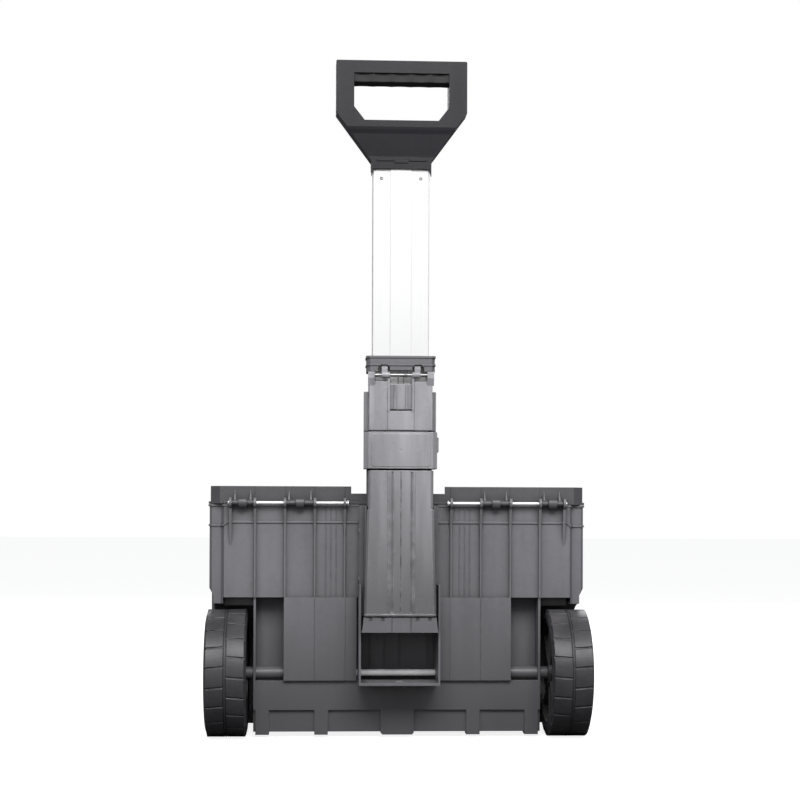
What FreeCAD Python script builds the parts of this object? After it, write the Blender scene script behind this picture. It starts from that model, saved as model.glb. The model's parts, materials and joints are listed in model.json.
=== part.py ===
import FreeCAD, Part
import math
import os

# Rolling tool box with a telescopic mast. Millimetres, +Z up. The origin is on the floor, under the
# middle of the box. -Y is the side with the wheels and the mast, +Y the side with the latches.
os.makedirs("parts", exist_ok=True)
V = FreeCAD.Vector

# ---------------------------------------------------------------- driving dimensions
# overall
overall_width = 595.0
overall_depth = 458.0
# fits
running_fit = 0.05          # radial clearance of a bore that turns on its shaft
sliding_gap = 0.35          # gap between the mast and its guide
part_gap = 0.4              # gap between pieces that move past each other
# wheels and axle
wheel_radius = 100.0
wheel_width = 64.5
axle_radius = 5.0
tyre_thickness = 19.0
shoulder_radius = 9.5
tread_count = 20
tread_depth = 2.2
tread_groove = 2.6
hub_radius = 20.0
bush_wall = 3.0
rim_web = 4.0
spoke_count = 8
clip_thickness = 2.0
sleeve_wall = 4.5
# box body
wall = 3.5
wheel_inset = 4.0           # the wheels stand this far outside the side walls
axle_behind_wall = 14.0     # from the rear wall's outer face forward to the axle
rim_height = 363.0
rim_bead = 3.5              # height of the bead round the rim
rim_proud = 1.8
rear_bead_proud = 1.0
base_height = 9.0
band_height = 4.6
ledge_height = 43.0
ledge_depth = 5.0
recess_below_axle = 11.5
recess_above_axle = 118.0
recess_depth = 38.0
recess_round = 18.0
well_gap = 8.0
eave_above_axle = 132.0     # where the side wall starts to step in above the wheel
eave_inset = 6.5
eave_drop = 11.0
well_step_depth = 45.0
cheek_gap = 9.0             # from the cheek's outer face to the wheel
corner_chamfer = 24.0
rib_width = 2.4
rib_proud = 5.0
rib_count = 4
first_rib_from_frame = 21.0
side_rib_count = 5
flange_below_rim = 29.5
flange_thickness = 3.0
flange_proud = 1.6
flange_drop = 5.0
band_width = 21.0
centre_band = 52.0
band_chamfer = 3.0
recess_rib_places = (-42.0, -18.5, 5.0, 49.0)
recess_rib_width = 1.6
# hinge
rod_radius = 2.5
rod_behind_wall = 10.0
rod_above_rim = 2.0
ear_radius = 8.0
ear_width = 4.0
gusset_height = 52.0
outer_gusset_height = 66.0
outer_ear_step = 38.0
knuckle_radius = 8.8
knuckle_width = 12.5
barrel_radius = 4.2
fin_base = 4.8
fin_tip = 1.2
fin_offsets = (17.0, 12.1)  # from the middle of the inner and the outer knuckle
# lid
lid_gap = 0.6
lid_height = 27.4
lid_wall = 3.0
notch_half_width = 73.0     # at the rear, where the mast passes
notch_front_half_width = 104.0
notch_depth = 11.0
lid_inset = 1.8             # the lid's sides stand this far inside the box's
lid_corner = 15.2
lid_corner_depth = 12.0
lid_rib_x = 142.0
lid_panel_proud = 0.8
lid_lip = 6.0
lip_gap = 1.6               # from the box wall's inner face to the lid's lip
fin_height = 20.0
seal_size = 3.0
# column and mast
column_front_gap = 29.0     # from the rear wall to the column's front face
mast_width = 86.5
mast_depth = 24.0
mast_wall = 1.8
mast_groove_x = 16.0
mast_step = 1.6
mast_bottom = 467.0
mast_length = 417.0
shell = 3.0
bush_thickness = 1.35
shoe_height = 12.0
column_rear = 44.0          # from the column's front wall back to its rear wall's inner face
# widths of the column's pieces, each beyond the room for the mast and its guide
foot_above_axle = 68.0
foot_height = 23.0
cover_joint = 2.0
taper_below_rim = 8.0
cover_top = 414.0
cover_top_margin = 4.05
cover_margin = 5.55
cover_base_margin = 9.85
cover_round = 3.4
sleeve_bottom = 416.8
sleeve_top = 472.6
sleeve_margin = 10.55
sleeve_chamfer = 6.6
housing_bottom = 475.0
housing_top = 549.0
housing_margin = 3.05
flange_margin = 10.05
flange_top = 535.0
collar_bottom = 564.0
collar_top = 588.0
collar_margin = 7.85
collar_proud = 2.5
frame_margin = 17.05        # below, beside the axle slot
frame_upper_margin = 9.05
frame_narrows_above = 22.0  # from the recess's top edge up to where the frame narrows
mount_lug_width = 8.5
foot_cover_top_gap = 6.8
foot_cover_base_gap = 4.2
frame_plate = 3.0
frame_below_axle = 15.0
slot_lip = 4.0
# release lever
pivot_height = 559.0
pivot_radius = 2.5
pivot_ear_margin = 5.05
pivot_ear_width = 10.0
lever_half_width = 20.0
web_width = 3.0
pad_height = 29.0
pad_slot = 2.6              # open slot above the pad
hub_wall = 2.5
pawl_x = 25.0
pawl_width = 9.0
pawl_rise = 14.4
pawl_grip = 1.2
lock_gap = 1.5
lug_height = 8.0
# handle
handle_half_width = 100.0
handle_top = 1039.0
handle_depth = 37.0
handle_front_gap = 3.0      # from the mast's front face to the handle's front face
neck_bottom = 875.0
neck_top = 892.0
neck_margin = 2.75
shoulder_height = 960.0
handle_side = 27.5
opening_bottom = 948.0
opening_top = 1020.0
opening_chamfer = 16.0
opening_chamfer_height = 20.5
grip_height = 9.0           # how far the grip reaches up into the top bar
grip_drop = 13.0            # how far it stands out below the bar
grip_inset = 2.0
grip_wave_depth = 2.4
handle_corner = 1.6
slope_round = 10.0          # height of the rounding where the slope starts
ear_drop = 11.0
ear_half_width = 3.6
grip_waves = 5
handle_shell = 3.0
# latches
latch_x = 170.0
latch_width = 60.0
latch_thickness = 3.6
latch_depth = 9.0           # the latches stand this far out of the front wall
latch_pin_radius = 2.0
latch_pivot_below_rim = 41.0
latch_claw = 4.0
# feet and fasteners
foot_x = 200.0
foot_length = 60.0
foot_width = 28.0
screw_head_radius = 3.6
screw_head_height = 2.2
screw_radius = 1.8

# ---------------------------------------------------------------- derived places
half_width = overall_width / 2 - wheel_inset
axle_y = -overall_depth / 2 + wheel_radius
axle_z = wheel_radius
recess_bottom = axle_z - recess_below_axle
recess_top = axle_z + recess_above_axle
eave_height = axle_z + eave_above_axle
mast_half = mast_width / 2
bush_half = mast_half + sliding_gap
column_half = bush_half + bush_thickness
frame_half_width = column_half + frame_margin
frame_upper_half_width = column_half + frame_upper_margin
frame_widens_at = recess_top + frame_narrows_above
frame_bottom = axle_z - frame_below_axle
first_rib = frame_half_width + first_rib_from_frame
foot_cover_top = frame_half_width - foot_cover_top_gap
foot_cover_base = frame_half_width - foot_cover_base_gap
foot_bottom = axle_z + foot_above_axle
cover_bottom = foot_bottom + foot_height + cover_joint
taper_top = rim_height - taper_below_rim
cover_top_half_width = column_half + cover_top_margin
cover_half_width = column_half + cover_margin
cover_base_half_width = column_half + cover_base_margin
sleeve_half_width = column_half + sleeve_margin
housing_half_width = column_half + housing_margin
flange_half_width = column_half + flange_margin
collar_half_width = column_half + collar_margin
pivot_ear_outer = column_half + pivot_ear_margin
neck_half_width = mast_half + neck_margin
opening_half_width = handle_half_width - handle_side
rear = axle_y - axle_behind_wall
front = overall_depth / 2 - latch_depth
wheel_in = overall_width / 2 - wheel_width
cheek_out = wheel_in - cheek_gap
cheek_in = cheek_out - wall
rib_pitch = (cheek_in + wall / 2 - first_rib) / (rib_count - 1)
rib_places = [first_rib + rib_pitch * n for n in range(rib_count)]
ear_places = rib_places + [rib_places[-1] + outer_ear_step]
knuckle_places = [
    (ear_places[0 + 1] + ear_places[2]) / 2,
    (ear_places[3] + ear_places[4]) / 2,
]
rod_y = rear - rod_behind_wall
flange_height = rim_height - flange_below_rim
rod_z = rim_height + rod_above_rim
lid_bottom = rim_height + lid_gap
lid_top = lid_bottom + lid_height
notch_top = lid_top - notch_depth
column_front = rear - column_front_gap
column_inner = column_front - shell
column_back = column_inner - column_rear
column_face = column_back - shell
mast_front = column_inner - 8.0
mast_rear = mast_front - mast_depth
mast_top = mast_bottom + mast_length
mast_face = mast_rear + mast_step
flange_seat = column_inner - 15.0
cover_seat = column_back + 8.0
pivot_y = column_back - 2.0
lug_bottom = pivot_height + pawl_rise + lock_gap
plate_top = housing_top - 4.0
handle_front = mast_front + handle_front_gap
handle_rear = handle_front - handle_depth
handle_mid = handle_front - handle_depth / 2
panel_in = frame_half_width + 2.0
panel_out = rib_places[2] + rib_width / 2
latch_pivot_y = front + latch_depth - latch_pin_radius - 2.2
latch_pivot_z = rim_height - latch_pivot_below_rim


# ---------------------------------------------------------------- shape helpers
def block(x0, x1, y0, y1, z0, z1):
    return Part.makeBox(x1 - x0, y1 - y0, z1 - z0, V(x0, y0, z0))


def rod_x(x0, x1, y, z, radius):
    return Part.makeCylinder(radius, x1 - x0, V(x0, y, z), V(1, 0, 0))


def rod_y_dir(y0, y1, x, z, radius):
    return Part.makeCylinder(radius, y1 - y0, V(x, y0, z), V(0, 1, 0))


def rod_z_dir(z0, z1, x, y, radius):
    return Part.makeCylinder(radius, z1 - z0, V(x, y, z0), V(0, 0, 1))


def outline_face(points):
    return Part.Face(Part.makePolygon(points + [points[0]]))


def plate_x(points, x0, x1):
    """A plate along X whose outline is given as (y, z) points."""
    return outline_face([V(x0, y, z) for y, z in points]).extrude(V(x1 - x0, 0, 0))


def plate_y(points, y0, y1):
    """A plate along Y whose outline is given as (x, z) points."""
    return outline_face([V(x, y0, z) for x, z in points]).extrude(V(0, y1 - y0, 0))


def plate_z(points, z0, z1):
    """A plate along Z whose outline is given as (x, y) points."""
    return outline_face([V(x, y, z0) for x, y in points]).extrude(V(0, 0, z1 - z0))


def mirrored(shape):
    return shape.mirror(V(0, 0, 0), V(1, 0, 0))


def both_sides(shapes):
    return shapes + [mirrored(shape) for shape in shapes]


def joined(shapes):
    result = shapes[0].multiFuse(shapes[1:]) if len(shapes) > 1 else shapes[0]
    return result.removeSplitter()


def without(shape, tools):
    return shape.cut(tools)


def chamfered_box(x1, y0, y1, z0, z1, size):
    """A block centred on X = 0 whose four upright corners are cut off."""
    points = [
        (-x1 + size, y0), (x1 - size, y0), (x1, y0 + size), (x1, y1 - size),
        (x1 - size, y1), (-x1 + size, y1), (-x1, y1 - size), (-x1, y0 + size),
    ]
    return plate_z(points, z0, z1)


def save(name, solids):
    shape = Part.makeCompound(solids) if isinstance(solids, list) else solids
    shape.exportStep("parts/" + name + ".step")
    sound = all(solid.isValid() and solid.Volume > 0 for solid in shape.Solids)
    print(f"{name:26s} solids {len(shape.Solids):3d}  volume {shape.Volume / 1000:9.2f} cm3  sound {sound}")


# ---------------------------------------------------------------- box body
def body_plan(grow):
    """The box's plan, with stepped rear corners and cut front corners, grown by a distance."""
    half = [
        (0.0, rear), (half_width - 23.5, rear), (half_width - 18.5, rear + 9.0),
        (half_width - 4.0, rear + 12.0), (half_width, rear + 17.0),
        (half_width, front - corner_chamfer), (half_width - corner_chamfer, front), (0.0, front),
    ]
    right = [V(x, y, 0) for x, y in half[1:-1]]
    left = [V(-x, y, 0) for x, y in reversed(half[1:-1])]
    face = outline_face(right + left)
    return face.makeOffset2D(grow, 2) if grow else face


def body_prism(grow, z0, z1):
    face = body_plan(grow)
    face.translate(V(0, 0, z0))
    return face.extrude(V(0, 0, z1 - z0))


def wheel_well(grow):
    """The room for one wheel on the +X side, grown by a wall when it shapes the inside."""
    radius = wheel_radius + well_gap + grow
    outside = overall_width
    inner = cheek_out - grow
    arch = rod_x(inner, outside, axle_y, axle_z, radius)
    behind = block(inner, outside, -overall_depth, axle_y, -1, axle_z + radius)
    below = block(inner, outside, axle_y - 1, axle_y + radius, -1, axle_z)
    step = block(inner, half_width - 22.0, -overall_depth, rear + well_step_depth + grow, axle_z,
                 recess_top + grow)
    low = half_width - eave_inset - grow
    knee = eave_height - eave_drop + grow / 2
    reach = 20.0
    eave = plate_y([
        (low, axle_z), (low, knee), (low + reach, knee + reach * eave_drop / eave_inset),
        (low + reach, axle_z),
    ], -overall_depth, axle_y + wheel_radius + well_gap + grow)
    return joined([arch, behind, below, step, eave])


def rear_recess(grow):
    """The hollow across the lower rear wall that the axle lies in."""
    reach = cheek_in
    hollow = block(-reach, reach, rear - 20, rear + recess_depth + grow, recess_bottom - grow,
                   recess_top + grow)
    edges = [
        edge for edge in hollow.Edges
        if abs(edge.CenterOfMass.y - (rear + recess_depth + grow)) < 0.01
        and abs(edge.Length - 2 * reach) < 0.01
    ]
    return hollow.makeFillet(recess_round, edges)


def rear_wall_ribs():
    ribs = []
    for place in rib_places:
        ribs.append(block(place - rib_width / 2, place + rib_width / 2, rear - rib_proud, rear + 1,
                          recess_top, rim_height))
    for place in ear_places:
        tip = rod_y - ear_radius * 0.2
        drop = outer_gusset_height if place == ear_places[-1] else gusset_height
        gusset = plate_x([
            (rear + 1, rod_z - drop), (rear, rod_z - drop), (tip, rod_z - 8.0),
            (tip, rod_z), (rear - 2.2, rod_z), (rear - 2.2, rim_height), (rear + 1, rim_height),
        ], place - ear_width / 2, place + ear_width / 2)
        eye = rod_x(place - ear_width / 2, place + ear_width / 2, rod_y, rod_z, ear_radius)
        ribs.append(gusset)
        ribs.append(eye)
    thin = rib_places[0] + rib_pitch * 0.28
    for step in range(3):
        x = thin + step * 8.0
        ribs.append(block(x, x + 1.0, rear - 0.7, rear + 1, recess_top, rim_height - rim_bead))
    return both_sides(ribs)


def recess_ribs():
    """Low upright ribs on the back wall of the recess, seen through the slot under the column."""
    back = rear + recess_depth
    half = recess_rib_width / 2
    return [block(x - half, x + half, back - recess_rib_width, back + 1, recess_bottom + recess_round,
                  recess_top - recess_round) for x in recess_rib_places]


def rim_bead_ring():
    """The bead round the rim, lower on the rear wall where the lid's knuckles swing past."""
    bend = half_width - 22.0
    low = rim_height - rim_bead
    ring = without(body_prism(rim_proud, low, rim_height), [
        body_prism(-1.0, low - 1, rim_height + 1), block(-bend, bend, rear - 10, rear + 1, low - 1, rim_height + 1)])
    strip = block(frame_half_width, bend, rear - rear_bead_proud, rear + 1, low, rim_height)
    return [ring] + both_sides([strip])


def body_flange():
    """The rib that runs round the box below its rim and drops at the rear corners."""
    low = flange_height - flange_drop
    ring = body_prism(flange_proud, low, low + flange_thickness)
    bend = half_width - 22.0
    slant = 6.0
    ring = without(ring, [block(-bend, bend, rear - 10, rear + 1, low - 1, low + flange_thickness + 1)])
    strip = plate_y([
        (bend, low), (bend - slant, flange_height), (-bend + slant, flange_height), (-bend, low),
        (-bend, low + flange_thickness), (-bend + slant, flange_height + flange_thickness),
        (bend - slant, flange_height + flange_thickness), (bend, low + flange_thickness),
    ], rear - flange_proud, rear + 1)
    gap = block(-frame_half_width, frame_half_width, rear - 10, rear, low - 1, rim_height)
    inside = body_prism(-1.0, low - 1, rim_height)
    return without(joined([ring, strip]), [gap, inside])


def side_ribs():
    ribs = []
    start = axle_y + wheel_radius + well_gap + 2 * wall
    pitch = (front - corner_chamfer - 6.0 - start) / (side_rib_count - 1)
    for n in range(side_rib_count):
        y = start + pitch * n
        ribs.append(block(half_width - 1, half_width + 2.0, y, y + rib_width, base_height + 16.0,
                          rim_height))
    return both_sides(ribs)


def front_ribs():
    ribs = []
    for place in (latch_x - latch_width / 2 - 14.0, latch_x + latch_width / 2 + 14.0, 60.0):
        ribs.append(block(place - rib_width / 2, place + rib_width / 2, front - 1, front + 2.0,
                          base_height + 16.0, rim_height))
    return both_sides(ribs)


def foot_bands():
    bands = []
    places = [(cheek_in - band_width, cheek_in), (first_rib + 25.0, first_rib + 25.0 + band_width)]
    for x0, x1 in places:
        bands.append(block(x0, x1, rear, rear + 24.0, band_height, recess_bottom - 2))
    half = centre_band / 2
    middle = plate_y([
        (-half, ledge_height), (-half, band_height + band_chamfer), (-half + band_chamfer, band_height),
        (half - band_chamfer, band_height), (half, band_height + band_chamfer), (half, ledge_height),
    ], rear, rear + 24.0)
    return both_sides(bands) + [middle]


def latch_ears():
    ears = []
    for side in (-1, 1):
        outer = latch_width / 2 + part_gap
        x0 = latch_x + side * (outer + 2.0) - 2.0
        ears.append(plate_x([
            (front - 1, latch_pivot_z - 14.0), (front, latch_pivot_z - 14.0),
            (latch_pivot_y + 3.6, latch_pivot_z - 3.0), (latch_pivot_y + 3.6, latch_pivot_z + 3.6),
            (front, latch_pivot_z + 10.0), (front - 1, latch_pivot_z + 10.0),
        ], x0, x0 + 4.0))
    return both_sides(ears)


def make_body():
    outer = body_prism(0, base_height, rim_height)
    cavity = body_prism(-wall, base_height + wall, rim_height + 10)
    wells = both_sides([wheel_well(0)])
    thick_wells = both_sides([wheel_well(wall)])
    skirt = block(-cheek_in - wall, cheek_in + wall, rear - 1, rear + recess_depth + wall,
                  0, recess_bottom)
    cavity = without(cavity, thick_wells + [rear_recess(wall), skirt])
    pocket_edges = [0.0] + rib_places[:-1] + [cheek_in - band_width]
    pockets = []
    for x0, x1 in zip(pocket_edges[:-1], pocket_edges[1:]):
        pockets.append(block(x0 + 2, x1 - 2, rear + 26.0, rear + recess_depth - 0.5, 0,
                             recess_bottom - wall))
    ledge_cut = block(-cheek_in - wall - 1, cheek_in + wall + 1, rear - 1, rear + ledge_depth,
                      0, ledge_height)
    shell_body = without(outer, [cavity, rear_recess(0), ledge_cut] + wells + both_sides(pockets))
    added = rear_wall_ribs() + side_ribs() + front_ribs() + foot_bands() + latch_ears()
    added += [body_flange()] + rim_bead_ring() + recess_ribs()
    body = joined([shell_body] + added)
    rod_holes = both_sides([rod_x(first_rib - 20, ear_places[-1] + 20, rod_y, rod_z, rod_radius)])
    bores = [rod_x(-half_width, half_width, axle_y, axle_z, axle_radius)]
    pin_holes = both_sides([rod_x(latch_x - latch_width, latch_x + latch_width, latch_pivot_y,
                                  latch_pivot_z, latch_pin_radius)])
    feet = both_sides([foot_peg()])
    return without(body, rod_holes + bores + pin_holes + feet + wheel_side_room())


def wheel_side_room():
    """Clears the upright edges of the wheel wells of stray rib ends."""
    return both_sides([block(cheek_out, half_width + 5, -overall_depth, axle_y, -1,
                             axle_z + wheel_radius + well_gap)])


def foot_peg():
    """The stud that holds one front foot in the floor of the box."""
    y = front - foot_width
    return rod_z_dir(base_height - 0.5, base_height + wall - 0.5, foot_x, y, 5.0)


def make_foot(side):
    y = front - foot_width
    pad = block(foot_x - foot_length / 2, foot_x + foot_length / 2, y - foot_width / 2,
                y + foot_width / 2, 0, base_height)
    upright = [edge for edge in pad.Edges if abs(edge.Length - base_height) < 0.01]
    pad = pad.makeFillet(8.0, upright)
    foot = joined([pad, foot_peg()])
    return foot if side > 0 else mirrored(foot)


# ---------------------------------------------------------------- hinge and lid
def make_hinge_rod(side):
    x0 = ear_places[0] - ear_width / 2 - 2.0
    x1 = ear_places[-1] + ear_width / 2 + 2.0
    rod = rod_x(x0, x1, rod_y, rod_z, rod_radius)
    head = rod_x(x0 - 2.0, x0, rod_y, rod_z, rod_radius + 1.6)
    whole = joined([rod, head])
    return whole if side > 0 else mirrored(whole)


def lid_prism(grow, z0, z1):
    """The lid's plan, a little inside the box's at the sides, with cut corners."""
    side = half_width - lid_inset
    half = [
        (side - lid_corner, rear), (side, rear + lid_corner_depth), (side, front - corner_chamfer),
        (side - corner_chamfer, front),
    ]
    face = outline_face([V(x, y, z0) for x, y in half] + [V(-x, y, z0) for x, y in reversed(half)])
    face = face.makeOffset2D(grow, 2) if grow else face
    return face.extrude(V(0, 0, z1 - z0))


def notch_prism(grow, z0, z1):
    """The lid's notch, which opens out towards the front."""
    flare = (notch_front_half_width - notch_half_width) / (front - rear)
    beyond = 20.0
    back = notch_half_width + grow - flare * beyond
    ahead = notch_front_half_width + grow + flare * beyond
    return plate_z([(-back, rear - beyond), (back, rear - beyond), (ahead, front + beyond),
                    (-ahead, front + beyond)], z0, z1)


def make_lid():
    outer = lid_prism(0, lid_bottom, lid_top)
    edge = body_prism(1.6, lid_bottom, lid_bottom + 3.4)
    notch = notch_prism(0, notch_top, lid_top + 10)
    top = joined([without(outer, [notch]), edge])
    high = lid_prism(-lid_wall, lid_bottom - 1, lid_top - lid_wall)
    low_roof = notch_prism(lid_wall, notch_top - lid_wall, lid_top + 10)
    tray = without(top, [without(high, [low_roof])])
    lip_outer = body_prism(-wall - lip_gap, lid_bottom - lid_lip, lid_bottom + 10)
    lip_inner = body_prism(-wall - lip_gap - 2.6, lid_bottom - lid_lip - 1, lid_bottom + 11)
    lip = without(lip_outer, [lip_inner])
    roof = without(body_prism(0.5 - lid_wall, lid_bottom + 6.0, lid_bottom + 8.0), [
        body_prism(-wall - lip_gap - 2.6, lid_bottom, lid_bottom + 20)])
    rest = [lip, roof]
    rest += both_sides([part for n in range(2) for part in lid_knuckle(n)])
    rest += both_sides(lid_panels())
    rest += both_sides([block(lid_rib_x - rib_width / 2, lid_rib_x + rib_width / 2, rear + 20.0, front - 8.0,
                              notch_top - 6.0, lid_top - 1)])
    rest += both_sides([catch_ledge()])
    lid = joined([tray] + rest)
    bores = both_sides([rod_x(first_rib, ear_places[-1], rod_y, rod_z, rod_radius + running_fit)])
    return without(lid, bores)


def lid_knuckle(n):
    """One knuckle of the lid, with its disc, the barrel round the rod, and a fin on either side."""
    place = knuckle_places[n]
    low_ear, high_ear = ((1, 2), (3, 4))[n]
    x0 = place - knuckle_width / 2
    x1 = place + knuckle_width / 2
    disc = rod_x(x0, x1, rod_y, rod_z, knuckle_radius)
    disc = without(disc, [block(x0 - 1, x1 + 1, rod_y - 30, rear - 0.4, rod_z + 5.0, rod_z + 30)])
    arm = block(x0, x1, rod_y, rear + 1, lid_bottom, rod_z + 5.0)
    start = ear_places[low_ear] + ear_width / 2 + part_gap
    end = ear_places[high_ear] - ear_width / 2 - part_gap
    barrel = rod_x(start, end, rod_y, rod_z, barrel_radius)
    web = block(start, end, rod_y, rear + 1, lid_bottom, rod_z + barrel_radius)
    fins = [lid_fin(place + side * fin_offsets[n]) for side in (-1, 1)]
    return [disc, arm, barrel, web] + fins


def lid_fin(x):
    """A fin that is broad at the joint and runs up to a narrow tip."""
    side = plate_x([
        (rear + 1, lid_bottom), (rear - 6.5, lid_bottom), (rear - 6.5, lid_bottom + 5.0),
        (rear, lid_bottom + fin_height), (rear + 1, lid_bottom + fin_height),
    ], x - fin_base / 2, x + fin_base / 2)
    taper = plate_y([
        (x - fin_base / 2, lid_bottom), (x + fin_base / 2, lid_bottom),
        (x + fin_tip / 2, lid_bottom + fin_height), (x - fin_tip / 2, lid_bottom + fin_height),
    ], rear - 10, rear + 2)
    return side.common(taper)


def lid_panels():
    """The shallow raised fields on the lid's rear face, between the knuckles."""
    fields = []
    for low_ear, high_ear in ((0, 1), (2, 3)):
        fields.append(block(ear_places[low_ear], ear_places[high_ear], rear - lid_panel_proud, rear + 1,
                            lid_bottom + 3.0, lid_top - 1.0))
    return fields


def catch_ledge():
    return block(latch_x - latch_width / 2 + 1, latch_x + latch_width / 2 - 1, front - 1,
                 front + latch_claw, lid_bottom, lid_bottom + 3.6)


def make_seal():
    """The strip on the outside of the lid's lip that closes the joint to the rim."""
    low = lid_bottom - 2.0 - seal_size
    outer = body_prism(-wall - part_gap, low, low + seal_size)
    return without(outer, [body_prism(-wall - lip_gap, low - 1, low + seal_size + 1)])


# ---------------------------------------------------------------- latches
def make_latch(side):
    x0 = latch_x - latch_width / 2
    x1 = latch_x + latch_width / 2
    face = front + latch_depth
    hook_bottom = lid_bottom + 3.6 + 0.7
    top = hook_bottom + 3.4
    profile = [
        (face, latch_pivot_z - 2.0), (face, top - 1.5), (face - 1.5, top), (front + 1.0, top),
        (front + 1.0, hook_bottom), (face - latch_thickness, hook_bottom),
        (face - latch_thickness, latch_pivot_z),
    ]
    plate = plate_x(profile, x0, x1)
    barrel = rod_x(x0, x1, latch_pivot_y, latch_pivot_z, face - latch_pivot_y)
    ribs = []
    for n in range(3):
        x = latch_x - 12.0 + 12.0 * n
        ribs.append(block(x - 1.2, x + 1.2, face - 4.6, face - 1, latch_pivot_z, hook_bottom + 1))
    latch = joined([plate, barrel] + ribs)
    bore = rod_x(x0 - 1, x1 + 1, latch_pivot_y, latch_pivot_z, latch_pin_radius + running_fit)
    latch = without(latch, [bore])
    return latch if side > 0 else mirrored(latch)


def make_latch_pins():
    reach = latch_width / 2 + part_gap + 4.0
    return both_sides([rod_x(latch_x - reach, latch_x + reach, latch_pivot_y, latch_pivot_z,
                             latch_pin_radius)])


# ---------------------------------------------------------------- axle and wheels
def make_axle():
    reach = overall_width / 2 - 7.0
    return rod_x(-reach, reach, axle_y, axle_z, axle_radius)


def make_axle_sleeve(side):
    sleeve = without(
        rod_x(panel_out, cheek_in, axle_y, axle_z, axle_radius + sleeve_wall),
        [rod_x(panel_out - 1, cheek_in + 1, axle_y, axle_z, axle_radius)],
    )
    return sleeve if side > 0 else mirrored(sleeve)


def make_wheel_spacer(side):
    spacer = without(
        rod_x(cheek_out, wheel_in + 4.0 - part_gap, axle_y, axle_z, axle_radius + sleeve_wall),
        [rod_x(cheek_out - 1, wheel_in + 5, axle_y, axle_z, axle_radius)],
    )
    return spacer if side > 0 else mirrored(spacer)


def wheel_section(points):
    """Turns a half section, given as (x, radius) points, about the axle."""
    face = outline_face([V(x, axle_y, axle_z + r) for x, r in points])
    return face.revolve(V(0, axle_y, axle_z), V(1, 0, 0), 360)


def make_tyre(side):
    x0 = wheel_in
    x1 = wheel_in + wheel_width
    inner = wheel_radius - tyre_thickness
    s = shoulder_radius
    middle = (x0 + x1) / 2
    ring = wheel_section([
        (x0 + 2, inner), (x1 - 2, inner), (x1, inner + 4), (x1, wheel_radius - s),
        (x1 - s * 0.3, wheel_radius - s * 0.3), (x1 - s, wheel_radius), (x0 + s, wheel_radius),
        (x0 + s * 0.3, wheel_radius - s * 0.3), (x0, wheel_radius - s), (x0, inner + 4),
    ])
    cuts = []
    for n in range(tread_count):
        for half in (0, 1):
            angle = 360.0 / tread_count * (n + 0.5 * half)
            start = x0 - 1 if half == 0 else middle + 2.0
            end = middle - 2.0 if half == 0 else x1 + 1
            cut = block(start, end, axle_y - tread_groove / 2, axle_y + tread_groove / 2,
                        axle_z + wheel_radius - tread_depth, axle_z + wheel_radius + 5)
            cut.rotate(V(0, axle_y, axle_z), V(1, 0, 0), angle)
            cuts.append(cut)
    tyre = without(ring, cuts)
    return tyre if side > 0 else mirrored(tyre)


def make_rim(side):
    x0 = wheel_in
    x1 = wheel_in + wheel_width
    outer = wheel_radius - tyre_thickness
    band = wheel_section([
        (x0 + 2, outer - rim_web), (x1 - 2, outer - rim_web), (x1 - 2, outer), (x0 + 2, outer),
    ])
    hub = wheel_section([
        (x0 + 4, axle_radius + bush_wall), (x1 - 8, axle_radius + bush_wall), (x1 - 8, hub_radius),
        (x0 + 4, hub_radius),
    ])
    disc_x = x1 - 18.0
    disc = wheel_section([
        (disc_x, hub_radius - 1), (disc_x + rim_web, hub_radius - 1), (disc_x + rim_web, outer - 2),
        (disc_x, outer - 2),
    ])
    spokes = []
    for n in range(spoke_count):
        spoke = block(x0 + 6, x1 - 10, axle_y - rim_web / 2, axle_y + rim_web / 2,
                      axle_z + hub_radius - 1, axle_z + outer - 2)
        spoke.rotate(V(0, axle_y, axle_z), V(1, 0, 0), 360.0 / spoke_count * n)
        spokes.append(spoke)
    rim = joined([band, hub, disc] + spokes)
    return rim if side > 0 else mirrored(rim)


def make_bush(side):
    x0 = wheel_in + 4
    x1 = wheel_in + wheel_width - 8
    bush = wheel_section([
        (x0, axle_radius + running_fit), (x1, axle_radius + running_fit),
        (x1, axle_radius + bush_wall), (x0, axle_radius + bush_wall),
    ])
    return bush if side > 0 else mirrored(bush)


def make_axle_clip(side):
    x0 = wheel_in + wheel_width - 8 + part_gap
    clip = wheel_section([
        (x0, axle_radius), (x0 + clip_thickness, axle_radius),
        (x0 + clip_thickness, axle_radius + 6), (x0, axle_radius + 6),
    ])
    clip = without(clip, [block(x0 - 1, x0 + clip_thickness + 1, axle_y + axle_radius + 2,
                                axle_y + axle_radius + 8, axle_z - 1.5, axle_z + 1.5)])
    return clip if side > 0 else mirrored(clip)


def make_hub_cap(side):
    x0 = wheel_in + wheel_width - 8
    x1 = x0 + 7.5
    inside = axle_radius + 7.5
    cap = wheel_section([
        (x0, hub_radius - 4), (x0, inside), (x1 - 2, inside), (x1 - 2, 0), (x1, 0),
        (x1, hub_radius - 8), (x1 - 4, hub_radius - 4),
    ])
    return cap if side > 0 else mirrored(cap)


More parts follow.
